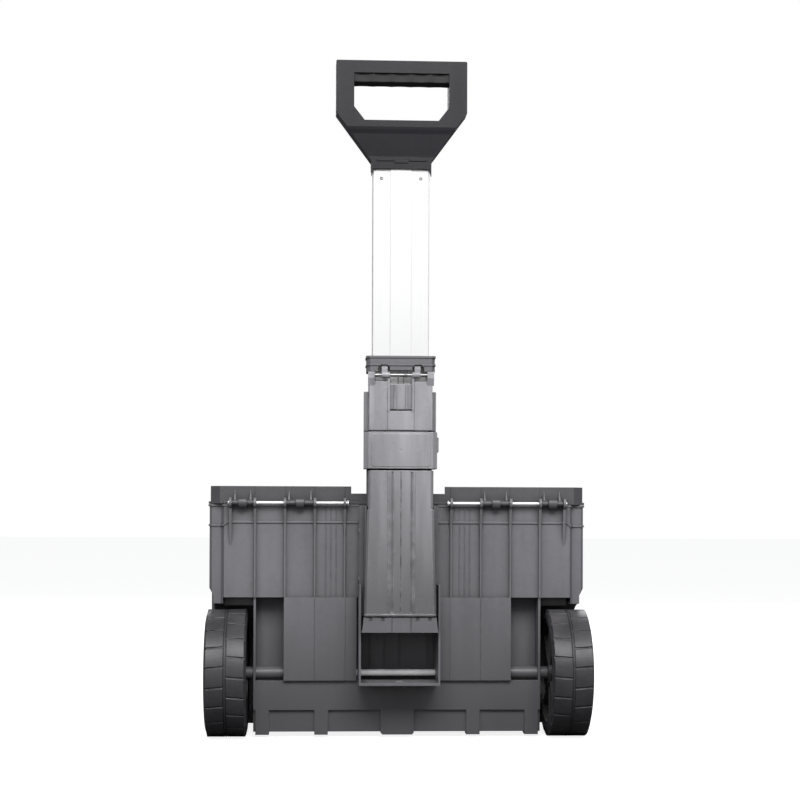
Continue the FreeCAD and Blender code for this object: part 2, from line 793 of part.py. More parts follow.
# ---------------------------------------------------------------- axle supports
def make_axle_support(side):
    y0 = rear - rib_proud
    plate = block(panel_in, panel_out, y0, y0 + rib_proud + 2.0, recess_bottom + 0.5, recess_top)
    webs = []
    for x in (panel_in, (panel_in + panel_out) / 2 - 2, panel_out - 4):
        webs.append(block(x, x + 4, rear, rear + recess_depth - recess_round, recess_bottom + 0.5,
                          recess_top - recess_round))
    feet = []
    for x in (panel_in, panel_out - 4):
        feet.append(block(x, x + 4, rear, rear + recess_depth, recess_bottom + recess_round,
                          recess_top - recess_round))
    step = block(first_rib - 1.2, panel_out, y0 - 0.6, y0 + 1, recess_bottom + 0.5, recess_top)
    groove = block(rib_places[1] - 0.6, rib_places[1] + 0.6, y0 - 1, y0 - 0.1, recess_bottom, recess_top)
    support = without(joined([plate, step] + webs + feet), [
        groove, rod_x(0, half_width, axle_y, axle_z, axle_radius)])
    return support if side > 0 else mirrored(support)


# ---------------------------------------------------------------- column
def make_channel():
    """The column's front half: two frame plates on the box and the wall that the mast runs behind."""
    plate = plate_x([
        (rear + recess_depth, recess_bottom + recess_round), (rear + recess_depth, recess_top - recess_round),
        (rear, recess_top - 1), (rear, rim_height - 4), (cover_seat, rim_height - 4),
        (cover_seat, frame_bottom + 1.5), (rear - 3, frame_bottom + 1.5), (rear, frame_bottom + 1.5),
        (rear, recess_bottom), (rear + 4, recess_bottom + recess_round),
    ], frame_half_width - frame_plate, frame_half_width)
    plate = without(plate, [block(0, half_width, -overall_depth, rear, frame_widens_at, rim_height)])
    upper_plate = block(frame_upper_half_width - frame_plate, frame_upper_half_width, cover_seat, rear,
                        frame_widens_at - 4.0, rim_height - 4)
    front_wall = block(-frame_half_width + 1, frame_half_width - 1, column_inner, column_front,
                       foot_bottom + foot_height, rim_height - 4)
    neck_wall = block(-cover_half_width, cover_half_width, column_inner, column_front,
                      rim_height - 5, sleeve_bottom + 1)
    neck_side = block(column_half, cover_half_width, cover_seat, column_inner, rim_height - 5,
                      cover_top)
    upper_wall = block(-flange_half_width, flange_half_width, column_inner, column_front,
                       sleeve_bottom, flange_top)
    cap_wall = block(-housing_half_width, housing_half_width, column_inner, column_front,
                     flange_top - 1, collar_bottom)
    upper_side = block(column_half, flange_half_width, flange_seat, column_inner,
                       sleeve_bottom, flange_top)
    lip = block(-frame_half_width + 1, frame_half_width - 1, cover_seat, rear - 3,
                frame_bottom + 1.5, frame_bottom + 1.5 + slot_lip)
    vee = plate_y([(-10, frame_bottom + 5), (10, frame_bottom + 5), (4, frame_bottom + 9.5),
                   (-4, frame_bottom + 9.5)], cover_seat, cover_seat + 4)
    mounts = []
    for z in (rim_height - 40.0, recess_top + 30.0):
        mounts.append(block(frame_upper_half_width - 1, frame_upper_half_width + mount_lug_width, rear - 3,
                            rear, z - 6, z + 6))
    middle = [front_wall, neck_wall, upper_wall, cap_wall, lip, vee]
    channel = joined(middle + both_sides([plate, upper_plate, neck_side, upper_side] + mounts))
    bore = rod_x(-half_width, half_width, axle_y, axle_z, axle_radius)
    holes = [screw_hole_y(x, z, rear - 4, rear + 1) for x, z in mount_screw_places()]
    return without(channel, [bore] + holes)


def mount_screw_places():
    x = frame_upper_half_width + mount_lug_width / 2
    return [(side * x, z) for side in (-1, 1) for z in (rim_height - 40.0, recess_top + 30.0)]


def screw_hole_y(x, z, y0, y1):
    return rod_y_dir(y0, y1, x, z, screw_radius)


def tapered_outline(grow):
    low = cover_base_half_width + grow
    high = cover_half_width + grow
    return [(-low, cover_bottom), (low, cover_bottom), (high, taper_top), (-high, taper_top)]


def neck_outline(grow):
    top = cover_top_half_width + grow
    return [(-top, taper_top - 1), (top, taper_top - 1), (top, cover_top), (-top, cover_top)]


def softened(outline):
    """A plate of the cover's full depth, with its two long outer edges cut off."""
    face = column_face - 1.0
    plate = plate_y(outline, face, cover_seat)
    long_sides = [edge for edge in plate.Edges if abs(edge.CenterOfMass.y - face) < 0.01
                  and edge.BoundBox.ZLength > 20]
    return plate.makeChamfer(cover_round, long_sides)


def make_lower_cover():
    outer = joined([softened(tapered_outline(0)), softened(neck_outline(0))])
    inner = plate_y([(-column_half, cover_bottom - 1), (column_half, cover_bottom - 1),
                     (column_half, cover_top + 1), (-column_half, cover_top + 1)],
                    column_back, cover_seat + 1)
    tray_walls = [plate_y(outline(-shell), column_back, cover_seat + 1)
                  for outline in (tapered_outline, neck_outline)]
    cover = without(outer, [inner] + tray_walls)
    grooves = []
    for x, width in ((-12.5, 3.0), (0.5, 1.0), (16.5, 2.4)):
        grooves.append(block(x - width / 2, x + width / 2, column_face - 3, column_face + 0.6,
                             cover_bottom + 6, cover_top - 2))
    cover = without(cover, grooves)
    for x, width in ((-18.0, 2.4), (20.4, 2.4)):
        bead = block(x - width / 2, x + width / 2, column_face - 2.0, column_face, cover_bottom + 6,
                     cover_top - 2)
        cover = cover.fuse(bead)
    lip = block(-cover_base_half_width + 1, cover_base_half_width - 1, column_face - 2.6,
                column_face - 0.5, cover_bottom, cover_bottom + 3.0)
    return joined([cover, lip])


def make_foot_cover():
    foot_top = foot_bottom + foot_height
    outer = plate_y([
        (-foot_cover_base, foot_bottom), (foot_cover_base, foot_bottom), (foot_cover_top, foot_top),
        (-foot_cover_top, foot_top),
    ], column_face, cover_seat)
    inner = block(-column_half - 6, column_half + 6, column_back, column_front, foot_bottom - 1,
                  foot_top + 1)
    cover = without(outer, [inner])
    cuts = []
    for x in (-45.0, -26.5, 26.5, 45.0):
        cuts.append(block(x - 2.5, x + 2.5, column_face - 1, column_face + 2.0,
                          foot_top - 6, foot_top + 1))
    for x in (-12.5, 16.5):
        cuts.append(block(x - 0.8, x + 0.8, column_face - 1, column_face + 0.8, foot_bottom - 1,
                          foot_top + 1))
    ledge = block(-frame_half_width + frame_plate, frame_half_width - frame_plate, cover_seat - 1,
                  column_inner, foot_bottom, foot_bottom + 2.5)
    opening = block(-column_half - 6, column_half + 6, cover_seat - 2, column_inner + 1, foot_bottom - 1,
                    foot_bottom + 4)
    return joined([without(cover, cuts), without(ledge, [opening])])


def make_sleeve():
    outer = chamfered_box(sleeve_half_width, column_face - 3.0, column_front, sleeve_bottom,
                          sleeve_top, sleeve_chamfer)
    room = block(-column_half, column_half, column_back, column_front + 1, sleeve_bottom - 1,
                 sleeve_top + 1)
    channel_room = block(-overall_width, overall_width, flange_seat, column_front + 1,
                         sleeve_bottom - 1, sleeve_top + 1)
    band = without(outer, [room, channel_room])
    frame = plate_y([
        (-42, sleeve_bottom + 3), (42, sleeve_bottom + 3), (45, sleeve_bottom + 6),
        (45, sleeve_top - 6), (42, sleeve_top - 3), (-42, sleeve_top - 3), (-45, sleeve_top - 6),
        (-45, sleeve_bottom + 6),
    ], column_face - 3.4, column_face - 2.0)
    dimple = rod_y_dir(column_face - 5, column_face - 3.2, 0, (sleeve_bottom + sleeve_top) / 2, 2.4)
    band = without(joined([band, frame]), [dimple])
    return without(band, [clip_stem()])


def clip_stem():
    return block(column_half + 1.6, sleeve_half_width, column_back + 6, column_back + 12,
                 sleeve_bottom + 28, sleeve_bottom + 44)


def make_side_clip():
    head = block(sleeve_half_width, sleeve_half_width + 2.6, column_back + 3, column_back + 15,
                 sleeve_bottom + 25, sleeve_bottom + 48)
    edges = [edge for edge in head.Edges if abs(edge.CenterOfMass.x - sleeve_half_width - 2.6) < 0.01]
    return joined([head.makeFillet(1.4, edges), clip_stem()])


def make_upper_housing():
    outer = block(-housing_half_width, housing_half_width, column_face, column_inner, housing_bottom,
                  collar_bottom)
    inner = block(-column_half, column_half, column_back, column_inner + 1, housing_bottom - 1,
                  collar_bottom + 1)
    gap = lever_half_width + part_gap
    window = block(-gap, gap, column_face - 5, column_back + 1, housing_bottom - 1, collar_bottom + 1)
    hub_room = block(-pivot_ear_outer + pivot_ear_width, pivot_ear_outer - pivot_ear_width,
                     column_face - 5, column_back + 1, housing_top, collar_bottom + 1)
    flange_room = block(column_half, flange_half_width + 1, flange_seat, column_inner + 1,
                        housing_bottom - 1, flange_top)
    body = without(outer, [inner, window, hub_room] + both_sides([flange_room]))
    flange = block(column_half, flange_half_width, flange_seat - 9.0, flange_seat,
                   housing_bottom, flange_top)
    bridge = block(-column_half - 1, column_half + 1, column_inner - 2.0, column_inner, flange_top + 1,
                   collar_bottom)
    ears = []
    x0 = pivot_ear_outer - pivot_ear_width
    ears.append(plate_x([
        (column_back, housing_top - 6), (column_face, housing_top - 6), (pivot_y - 6.0, pivot_height - 5),
        (pivot_y - 6.0, pivot_height + 3.5), (pivot_y - 3.0, pivot_height + 5.0),
        (column_back, pivot_height + 5.0),
    ], x0, pivot_ear_outer))
    housing = joined([body, bridge] + both_sides([flange] + ears))
    return without(housing, [rod_x(-pivot_ear_outer + 1, pivot_ear_outer - 1, pivot_y, pivot_height,
                                   pivot_radius)])


def make_collar():
    back = column_face - collar_proud
    face = column_front + 2.6
    outer = chamfered_box(collar_half_width - 1.2, back + 1.2, face, collar_bottom, collar_top, 5.0)
    rims = [
        chamfered_box(collar_half_width, back, face, collar_top - 3.4, collar_top, 5.0),
        chamfered_box(collar_half_width, back, face, collar_bottom + 9.0, collar_bottom + 11.4, 5.0),
    ]
    room = block(-column_half, column_half, column_back, column_inner, collar_bottom - 1, collar_top + 1)
    windows = []
    for side in (-1, 1):
        x = side * (pawl_x + 1)
        windows.append(block(x - 9, x + 9, back - 1, column_back + 1, collar_bottom - 1, collar_bottom + 7))
        windows.append(plate_y([(x - 9, collar_bottom + 6), (x + 9, collar_bottom + 6),
                                (x + 5, collar_bottom + 10.5), (x - 5, collar_bottom + 10.5)],
                               back - 1, column_back + 1))
    hub_room = block(-lever_half_width - 2, lever_half_width + 2, back - 1, column_back + 1,
                     collar_bottom - 1, collar_bottom + 2.2)
    return without(joined([outer] + rims), [room, hub_room] + windows)


def make_guide_bush():
    z0 = lug_bottom + 2.5
    outer = block(-column_half, column_half, column_back, column_inner, z0, collar_top - 1)
    inner = block(-bush_half, bush_half, mast_rear - sliding_gap, mast_front + sliding_gap, z0 - 1,
                  collar_top)
    return without(outer, [inner])


def make_pivot_rod():
    reach = pivot_ear_outer - 1
    return rod_x(-reach, reach, pivot_y, pivot_height, pivot_radius)


def make_lever():
    web_in = lever_half_width - web_width
    hub_radius_outer = pivot_radius + hub_wall
    pad_bottom = housing_bottom + part_gap
    pad_top = pad_bottom + pad_height
    solids = [block(-lever_half_width, lever_half_width, column_face, column_back, pad_bottom, pad_top)]
    solids.append(block(-web_in - 1, web_in + 1, column_face + 4.2, column_face + 6.4, pad_top + pad_slot,
                        plate_top))
    solids.append(block(-lever_half_width, lever_half_width, column_face, column_face + 6.4, pad_top - 2,
                        pad_top))
    for x in (-9.0, 9.0):
        solids.append(block(x - 0.8, x + 0.8, column_face + 1.4, column_face + 5, pad_top + pad_slot,
                            plate_top))
    for side in (-1, 1):
        x0 = min(side * web_in, side * lever_half_width)
        solids.append(block(x0, x0 + web_width, column_face - 0.6, column_face + 6.4, pad_top - 1,
                            pivot_height))
        hub_in = min(side * web_in, side * (pawl_x + pawl_width / 2))
        hub_len = pawl_x + pawl_width / 2 - web_in
        solids.append(rod_x(hub_in, hub_in + hub_len, pivot_y, pivot_height, hub_radius_outer))
        px = side * pawl_x - pawl_width / 2
        tip = mast_rear + pawl_grip
        solids.append(plate_x([
            (pivot_y - 4.0, pivot_height), (pivot_y + 4.0, pivot_height),
            (pivot_y + 4.0, pivot_height + pawl_rise - 6.4), (tip, pivot_height + pawl_rise - 4.0),
            (tip, pivot_height + pawl_rise), (pivot_y - 0.5, pivot_height + pawl_rise),
            (pivot_y - 4.0, pivot_height + pawl_rise - 4.0),
        ], px, px + pawl_width))
    bore = rod_x(-60, 60, pivot_y, pivot_height, pivot_radius + running_fit)
    return without(joined(solids), [bore])


def make_lever_spring():
    """A torsion spring on the pivot rod, whose bail lies in front of the lever and pushes it home."""
    wire = 0.55
    radius = pivot_radius + 0.2 + wire
    turns = 4
    pitch = 2.6 * wire
    start = 4.0
    helix = Part.makeHelix(pitch, pitch * turns, radius)
    section = Part.Wire(Part.makeCircle(wire, V(radius, 0, 0), V(0, 1, 0)))
    coil = Part.Wire(helix.Edges).makePipeShell([section], True, True)
    coil.rotate(V(0, 0, 0), V(0, 1, 0), 90)
    coil.rotate(V(0, 0, 0), V(1, 0, 0), 90)
    coil.translate(V(start, pivot_y, pivot_height))
    top = V(start, pivot_y + radius, pivot_height)
    bottom = V(start, column_face + 8.6, plate_top - 4.0)
    tail = V(start + pitch * turns, pivot_y + radius, pivot_height)
    pieces = [coil, bar_between(top, bottom, wire), Part.makeSphere(wire, top),
              Part.makeSphere(wire, bottom), Part.makeSphere(wire, tail),
              bar_between(tail, tail + V(0, 0, 7.0), wire)]
    bail = bar_between(V(-start, bottom.y, bottom.z), bottom, wire)
    return joined(both_sides(pieces) + [bail])


def bar_between(start, end, radius):
    return Part.makeCylinder(radius, (end - start).Length, start, end - start)


# ---------------------------------------------------------------- mast
def mast_outline(grow):
    step_x = mast_groove_x
    return [
        (-mast_half - grow, mast_front + grow), (mast_half + grow, mast_front + grow),
        (mast_half + grow, mast_face - grow), (step_x + grow, mast_face - grow),
        (step_x + grow, mast_rear - grow), (-step_x - grow, mast_rear - grow),
        (-step_x - grow, mast_face - grow), (-mast_half - grow, mast_face - grow),
    ]


def mast_cells():
    """The three hollows of the extrusion, between its two inner webs."""
    web = mast_wall / 2
    side_cell = (mast_groove_x + web, mast_half - mast_wall, mast_face + mast_wall, mast_front - mast_wall)
    middle = (-mast_groove_x + web, mast_groove_x - web, mast_rear + mast_wall, mast_front - mast_wall)
    mirrored_cell = (-side_cell[1], -side_cell[0], side_cell[2], side_cell[3])
    return [side_cell, middle, mirrored_cell]


def make_mast():
    tube = plate_z(mast_outline(0), mast_bottom, mast_top)
    upright = [edge for edge in tube.Edges if abs(edge.Length - mast_length) < 0.01
               and abs(abs(edge.CenterOfMass.x) - mast_half) < 0.01]
    tube = tube.makeFillet(2.0, upright)
    cells = [block(*cell, mast_bottom - 1, mast_top + 1) for cell in mast_cells()]
    holes = [rod_y_dir(mast_rear - 2, mast_face + mast_wall + 0.5, x, z, screw_radius)
             for x, z in rivet_places() + lug_rivet_places()]
    return without(tube, cells + holes)


def rivet_places():
    return [(-30.0, neck_bottom - 13.5), (30.0, neck_bottom - 13.5)]


def lug_rivet_places():
    return [(side * pawl_x, lug_bottom + lug_height / 2) for side in (-1, 1)]


def make_mast_rivets():
    rivets = []
    for x, z in rivet_places():
        shank = rod_y_dir(mast_face, mast_face + 8.0, x, z, screw_radius)
        head = rod_y_dir(mast_face - 0.9, mast_face, x, z, 3.0)
        rivets.append(joined([shank, head]))
    return rivets


def make_lock_lugs():
    lugs = []
    for x, z in lug_rivet_places():
        lug = block(x - pawl_width / 2, x + pawl_width / 2, mast_face - mast_step + 0.1, mast_face,
                    lug_bottom, lug_bottom + lug_height)
        shank = rod_y_dir(mast_face, mast_face + mast_wall, x, z, screw_radius)
        lugs.append(joined([lug, shank]))
    return lugs


def make_end_shoe():
    half = column_half - part_gap
    base = block(-half, half, mast_rear - 2.6, mast_front + 2.6, mast_bottom - shoe_height, mast_bottom)
    upright = [edge for edge in base.Edges if abs(edge.Length - shoe_height) < 0.01]
    base = base.makeFillet(3.0, upright)
    plugs = [block(*cell, mast_bottom - 1, mast_bottom + 18) for cell in mast_cells()]
    relief = [block(cell[0] + 3, cell[1] - 3, cell[2] + 3, cell[3] - 3, mast_bottom - shoe_height - 1,
                    mast_bottom + 15) for cell in mast_cells()]
    return without(joined([base] + plugs), relief)


# ---------------------------------------------------------------- handle
def handle_outline(grow):
    n = neck_half_width + grow
    h = handle_half_width + grow
    c = handle_corner
    return [
        (-n, neck_bottom), (n, neck_bottom), (n, neck_top - 5.0), (h, shoulder_height),
        (h, handle_top - c + grow), (h - c, handle_top + grow), (-h + c, handle_top + grow),
        (-h, handle_top - c + grow), (-h, shoulder_height), (-n, neck_top - 5.0),
    ]


def opening_outline(grow):
    w = opening_half_width + grow
    b = opening_bottom - grow
    t = opening_top + grow
    across = opening_chamfer
    up = opening_chamfer_height
    return [(-w + across, b), (w - across, b), (w, b + up), (w, t), (-w, t), (-w, b + up)]


def handle_solid():
    """The outer form of the whole handle head, with its underside sloping in to the neck."""
    whole = plate_y(handle_outline(0), handle_rear, handle_front)
    whole = without(whole, [plate_y(opening_outline(0), handle_rear - 1, handle_front + 1)])
    wide = handle_half_width + 5
    slope_top = opening_bottom - 15.0
    neck_rear = mast_rear - 3.0
    slope = plate_x([
        (handle_rear - 1, neck_bottom - 1), (neck_rear, neck_bottom - 1), (neck_rear, neck_top),
        (neck_rear + 1.2, neck_top + 2), (handle_rear + 3.2, slope_top - slope_round / 2),
        (handle_rear + 0.9, slope_top + slope_round / 8), (handle_rear, slope_top + slope_round / 2),
        (handle_rear - 1, slope_top + slope_round / 2),
    ], -wide, wide)
    return without(whole, [slope])


def handle_cavity():
    inside = plate_y(handle_outline(-handle_shell), handle_rear + 12.0, handle_front - handle_shell)
    ring = plate_y(opening_outline(handle_shell), handle_rear, handle_front)
    bar = block(-handle_half_width, handle_half_width, handle_rear, handle_front, opening_top,
                handle_top + 5)
    low = block(-handle_half_width, handle_half_width, handle_rear, handle_front, neck_bottom - 5,
                neck_top + 6.0)
    return without(inside, [ring, bar, low])


def mast_socket():
    return plate_z(mast_outline(0), neck_bottom - 5, mast_top)


def grip_slot():
    w = opening_half_width
    return block(-w, w, handle_rear + 3.5, handle_front - 3.5, opening_top - 5, opening_top + grip_height)


def handle_screw_places():
    outer = handle_half_width - 8.0
    inner = neck_half_width + 8.0
    return [(-outer, handle_top - 16.0), (outer, handle_top - 16.0), (-inner, neck_top + 25.0),
            (inner, neck_top + 25.0)]


def handle_ears():
    """Two narrow tongues that run down beside the mast's edges and end in a point."""
    outer = neck_half_width
    inner = neck_half_width - ear_half_width
    ear = plate_y([
        (inner, neck_bottom + 1), (inner, neck_bottom), (outer - 1.0, neck_bottom - ear_drop),
        (outer, neck_bottom - ear_drop), (outer, neck_bottom + 1),
    ], mast_rear - 3.0, mast_rear)
    return both_sides([ear])


def make_handle_rear():
    solid = joined([handle_solid()] + handle_ears())
    front_half = block(-200, 200, handle_mid, handle_front + 10, neck_bottom - 20, handle_top + 10)
    blocks = []
    for x0, x1, z in ((-38.0, -12.0, neck_top - 5.0), (-10.5, 10.5, neck_top - 8.0), (12.0, 38.0, neck_top - 5.0)):
        blocks.append(block(x0, x1, mast_rear - 4.2, mast_rear - 2.5, z, z + 4.0))
    shell_half = without(joined([solid] + blocks), [front_half, handle_cavity(), mast_socket(), grip_slot()])
    bosses = [without(rod_y_dir(handle_rear + 8, handle_mid, x, z, 5.0), [
        rod_y_dir(handle_rear + 12, handle_mid + 1, x, z, screw_radius)]) for x, z in handle_screw_places()]
    holes = [rod_y_dir(handle_rear + 12, handle_mid + 1, x, z, screw_radius)
             for x, z in handle_screw_places()]
    return without(joined([shell_half] + bosses), holes)


def make_handle_front():
    rear_half = block(-200, 200, handle_rear - 10, handle_mid, neck_bottom - 20, handle_top + 10)
    shell_half = without(handle_solid(), [rear_half, handle_cavity(), mast_socket(), grip_slot()])
    bosses = [rod_y_dir(handle_mid, handle_front - 1, x, z, 5.0) for x, z in handle_screw_places()]
    tongues = []
    for cell in (mast_cells()[0], mast_cells()[2]):
        tongues.append(block(cell[0] + 3, cell[1] - 3, cell[2], cell[3], neck_bottom - 22, mast_top))
    root = block(-neck_half_width + 6, neck_half_width - 6, mast_face + mast_wall, mast_front, mast_top,
                 mast_top + 8)
    root = without(root, [block(-200, 200, handle_rear, handle_mid, neck_bottom, handle_top)])
    caps = [block(cell[0] + 3, cell[1] - 3, handle_mid, cell[3], mast_top - 1, mast_top + 6)
            for cell in (mast_cells()[0], mast_cells()[2])]
    body = joined([shell_half, root] + bosses + tongues + caps)
    cuts = [rod_y_dir(handle_mid - 1, handle_front + 1, x, z, screw_radius)
            for x, z in handle_screw_places()]
    cuts += [rod_y_dir(handle_front - screw_head_height, handle_front + 1, x, z, screw_head_radius)
             for x, z in handle_screw_places()]
    cuts += [rod_y_dir(mast_face, mast_face + 8.0, x, z, screw_radius) for x, z in rivet_places()]
    return without(body, cuts)


def make_handle_screws():
    screws = []
    for x, z in handle_screw_places():
        shank = rod_y_dir(handle_rear + 13, handle_front - screw_head_height, x, z, screw_radius)
        head = rod_y_dir(handle_front - screw_head_height, handle_front - 0.4, x, z, screw_head_radius)
        screws.append(joined([shank, head]))
    return screws


def make_grip():
    """The soft insert under the top bar, with shallow waves for the fingers on both faces."""
    w = opening_half_width
    y0 = handle_rear + grip_inset
    y1 = handle_front - grip_inset
    low = opening_top - grip_drop
    tongue = block(-w, w, handle_rear + 3.5, handle_front - 3.5, opening_top - 1, opening_top + grip_height)
    bar = block(-w, w, y0, y1, low, opening_top)
    pitch = 2 * w / grip_waves
    radius = (pitch * pitch / 4 + grip_wave_depth ** 2) / (2 * grip_wave_depth)
    cuts = []
    for n in range(grip_waves):
        x = -w + pitch * (n + 0.5)
        cuts.append(rod_z_dir(low - 1, opening_top, x, y0 + grip_wave_depth - radius, radius))
        cuts.append(rod_z_dir(low - 1, opening_top, x, y1 - grip_wave_depth + radius, radius))
    return joined([tongue, without(bar, cuts)])


# ---------------------------------------------------------------- fasteners
def make_column_screws():
    screws = []
    for x, z in mount_screw_places():
        head = rod_y_dir(rear - 3 - screw_head_height, rear - 3, x, z, screw_head_radius)
        shank = rod_y_dir(rear - 3, rear + wall, x, z, screw_radius)
        screws.append(joined([head, shank]))
    return screws


# ---------------------------------------------------------------- build
body = make_body()
body = without(body, [rod_y_dir(rear - 1, rear + wall, x, z, screw_radius) for x, z in mount_screw_places()])
save("box_body", body)
save("lid_shell", make_lid())
save("lid_seal", make_seal())
save("latch_pins", make_latch_pins())
save("wheel_axle", make_axle())
for side, word in ((-1, "left"), (1, "right")):
    save("hinge_rod_" + word, make_hinge_rod(side))
    save("front_foot_" + word, make_foot(side))
    save("latch_" + word, make_latch(side))
    save("axle_sleeve_" + word, make_axle_sleeve(side))
    save("wheel_spacer_" + word, make_wheel_spacer(side))
    save("axle_support_" + word, make_axle_support(side))
    save("tyre_" + word, make_tyre(side))
    save("rim_" + word, make_rim(side))
    save("wheel_bush_" + word, make_bush(side))
    save("axle_clip_" + word, make_axle_clip(side))
    save("hub_cap_" + word, make_hub_cap(side))
save("column_channel", make_channel())
save("column_lower_cover", make_lower_cover())
save("column_foot_cover", make_foot_cover())
save("column_sleeve", make_sleeve())
save("sleeve_clip", make_side_clip())
save("column_upper_housing", make_upper_housing())
save("mast_collar", make_collar())
save("mast_guide_bush", make_guide_bush())
save("column_screws", make_column_screws())
save("lever_pivot_rod", make_pivot_rod())
save("release_lever", make_lever())
save("lever_spring", make_lever_spring())
save("mast_tube", make_mast())
save("mast_rivets", make_mast_rivets())
save("mast_lock_lugs", make_lock_lugs())
save("mast_end_shoe", make_end_shoe())
save("handle_rear_shell", make_handle_rear())
save("handle_front_shell", make_handle_front())
save("handle_screws", make_handle_screws())
save("grip_insert", make_grip())
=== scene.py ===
# %% [markdown]
# # A rolling tool box
# The imported CAD model comes in as a fixed frame. Its nodes already sit where they belong, so this lesson
# only gives them surfaces, softens their edges in the shading, and puts finer tyres, screws and rivets in
# place of the simple ones, with Geometry Nodes for what repeats. The first line of real work keeps the CAD
# model's own box.

# %% The frame
import json
import math
import bmesh
import bpy
from mathutils import Matrix, Vector


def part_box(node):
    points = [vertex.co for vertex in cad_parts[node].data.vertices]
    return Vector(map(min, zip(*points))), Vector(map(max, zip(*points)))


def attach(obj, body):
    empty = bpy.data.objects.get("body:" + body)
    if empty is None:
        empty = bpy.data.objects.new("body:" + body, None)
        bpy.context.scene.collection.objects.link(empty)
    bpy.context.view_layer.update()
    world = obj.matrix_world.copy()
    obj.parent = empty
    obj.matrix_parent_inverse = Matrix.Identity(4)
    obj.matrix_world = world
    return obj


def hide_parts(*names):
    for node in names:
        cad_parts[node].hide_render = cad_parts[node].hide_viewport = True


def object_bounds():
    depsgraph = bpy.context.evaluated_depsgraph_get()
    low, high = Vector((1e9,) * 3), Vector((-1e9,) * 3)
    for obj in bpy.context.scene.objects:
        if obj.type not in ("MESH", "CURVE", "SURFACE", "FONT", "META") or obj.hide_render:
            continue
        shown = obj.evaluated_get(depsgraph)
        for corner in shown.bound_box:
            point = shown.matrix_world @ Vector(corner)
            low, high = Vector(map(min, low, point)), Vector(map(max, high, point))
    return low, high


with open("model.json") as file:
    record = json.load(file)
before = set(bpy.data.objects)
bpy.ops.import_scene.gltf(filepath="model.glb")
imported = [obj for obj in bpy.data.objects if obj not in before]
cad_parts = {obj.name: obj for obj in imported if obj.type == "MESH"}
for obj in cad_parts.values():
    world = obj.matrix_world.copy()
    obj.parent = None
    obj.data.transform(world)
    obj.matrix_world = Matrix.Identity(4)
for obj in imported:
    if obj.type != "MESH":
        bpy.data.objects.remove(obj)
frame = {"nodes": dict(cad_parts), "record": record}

cad_box = [list(corner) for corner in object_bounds()]
nodes = frame["nodes"]
low, high = (Vector(corner) for corner in cad_box)
print("CAD box", [round(v, 3) for v in low], [round(v, 3) for v in high], "nodes", len(nodes))

# %% [markdown]
# ## Camera
# A product picture of a tall thing is taken from a distance with a long lens, so that its verticals stay
# upright. The camera stands a little to the left, at the height of the box's rim, and looks slightly up.
# What is left of the framing is done with lens shift, which doesn't make the verticals lean.

# %% Camera
wheel_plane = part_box("tyre_left")[0][1]
camera_distance = 2.651
camera_height = 0.339
camera_left = -0.140
pan = math.radians(3.02)
tilt = math.radians(0.8)
roll = math.radians(0.2)

camera_data = bpy.data.cameras.new("studio_camera")
camera_data.sensor_width = 36.0
camera_data.lens = 79.0
camera_data.shift_x = -0.001
camera_data.shift_y = 0.1193
camera_data.clip_end = 100.0
camera = bpy.data.objects.new("studio_camera", camera_data)
bpy.context.collection.objects.link(camera)
camera.location = (camera_left, wheel_plane - camera_distance, camera_height)
turned = (Matrix.Rotation(-pan, 4, "Z") @ Matrix.Rotation(math.pi / 2 + tilt, 4, "X")
          @ Matrix.Rotation(roll, 4, "Z"))
camera.rotation_euler = turned.to_euler()
bpy.context.scene.camera = camera
print("camera at", [round(v, 3) for v in camera.location])

# %% [markdown]
# ## Floor and light
# The studio is a pale floor that runs out to a white surround. One large soft light hangs above, between the
# camera and the box, so that faces towards the camera are light, while faces that look down or to the side
# stay dark and every rib gets a dark flank. A weaker light fills from the left, a strip on the right draws
# long highlights on the column, a low one in front reaches the axle in its recess, and one on the far side
# lights the front of the box. The floor gives back less light than it shows, so the base stays dark.

# %% Floor and light
scene = bpy.context.scene
scene.view_settings.view_transform = "Standard"
scene.view_settings.look = "None"


def new_tree(material):
    material.use_nodes = True
    tree = material.node_tree
    tree.nodes.clear()
    return tree


def area_light(name, place, aim, size, power):
    data = bpy.data.lights.new(name, "AREA")
    data.shape = "RECTANGLE"
    data.size = size[0]
    data.size_y = size[1]
    data.energy = power
    light = bpy.data.objects.new(name, data)
    bpy.context.collection.objects.link(light)
    light.location = place
    direction = Vector(aim) - Vector(place)
    light.rotation_euler = direction.to_track_quat("-Z", "Y").to_euler()


world = bpy.data.worlds.new("studio")
scene.world = world
world.use_nodes = True
world.node_tree.nodes.clear()
surround = world.node_tree.nodes.new("ShaderNodeBackground")
plain_white = world.node_tree.nodes.new("ShaderNodeBackground")
ray = world.node_tree.nodes.new("ShaderNodeLightPath")
pick = world.node_tree.nodes.new("ShaderNodeMixShader")
world_out = world.node_tree.nodes.new("ShaderNodeOutputWorld")
surround.inputs["Color"].default_value = (0.93, 0.95, 1.0, 1.0)
surround.inputs["Strength"].default_value = 0.22
plain_white.inputs["Color"].default_value = (1.0, 1.0, 1.0, 1.0)
plain_white.inputs["Strength"].default_value = 1.0
world.node_tree.links.new(ray.outputs["Is Camera Ray"], pick.inputs["Fac"])
world.node_tree.links.new(surround.outputs[0], pick.inputs[1])
world.node_tree.links.new(plain_white.outputs[0], pick.inputs[2])
world.node_tree.links.new(pick.outputs[0], world_out.inputs["Surface"])

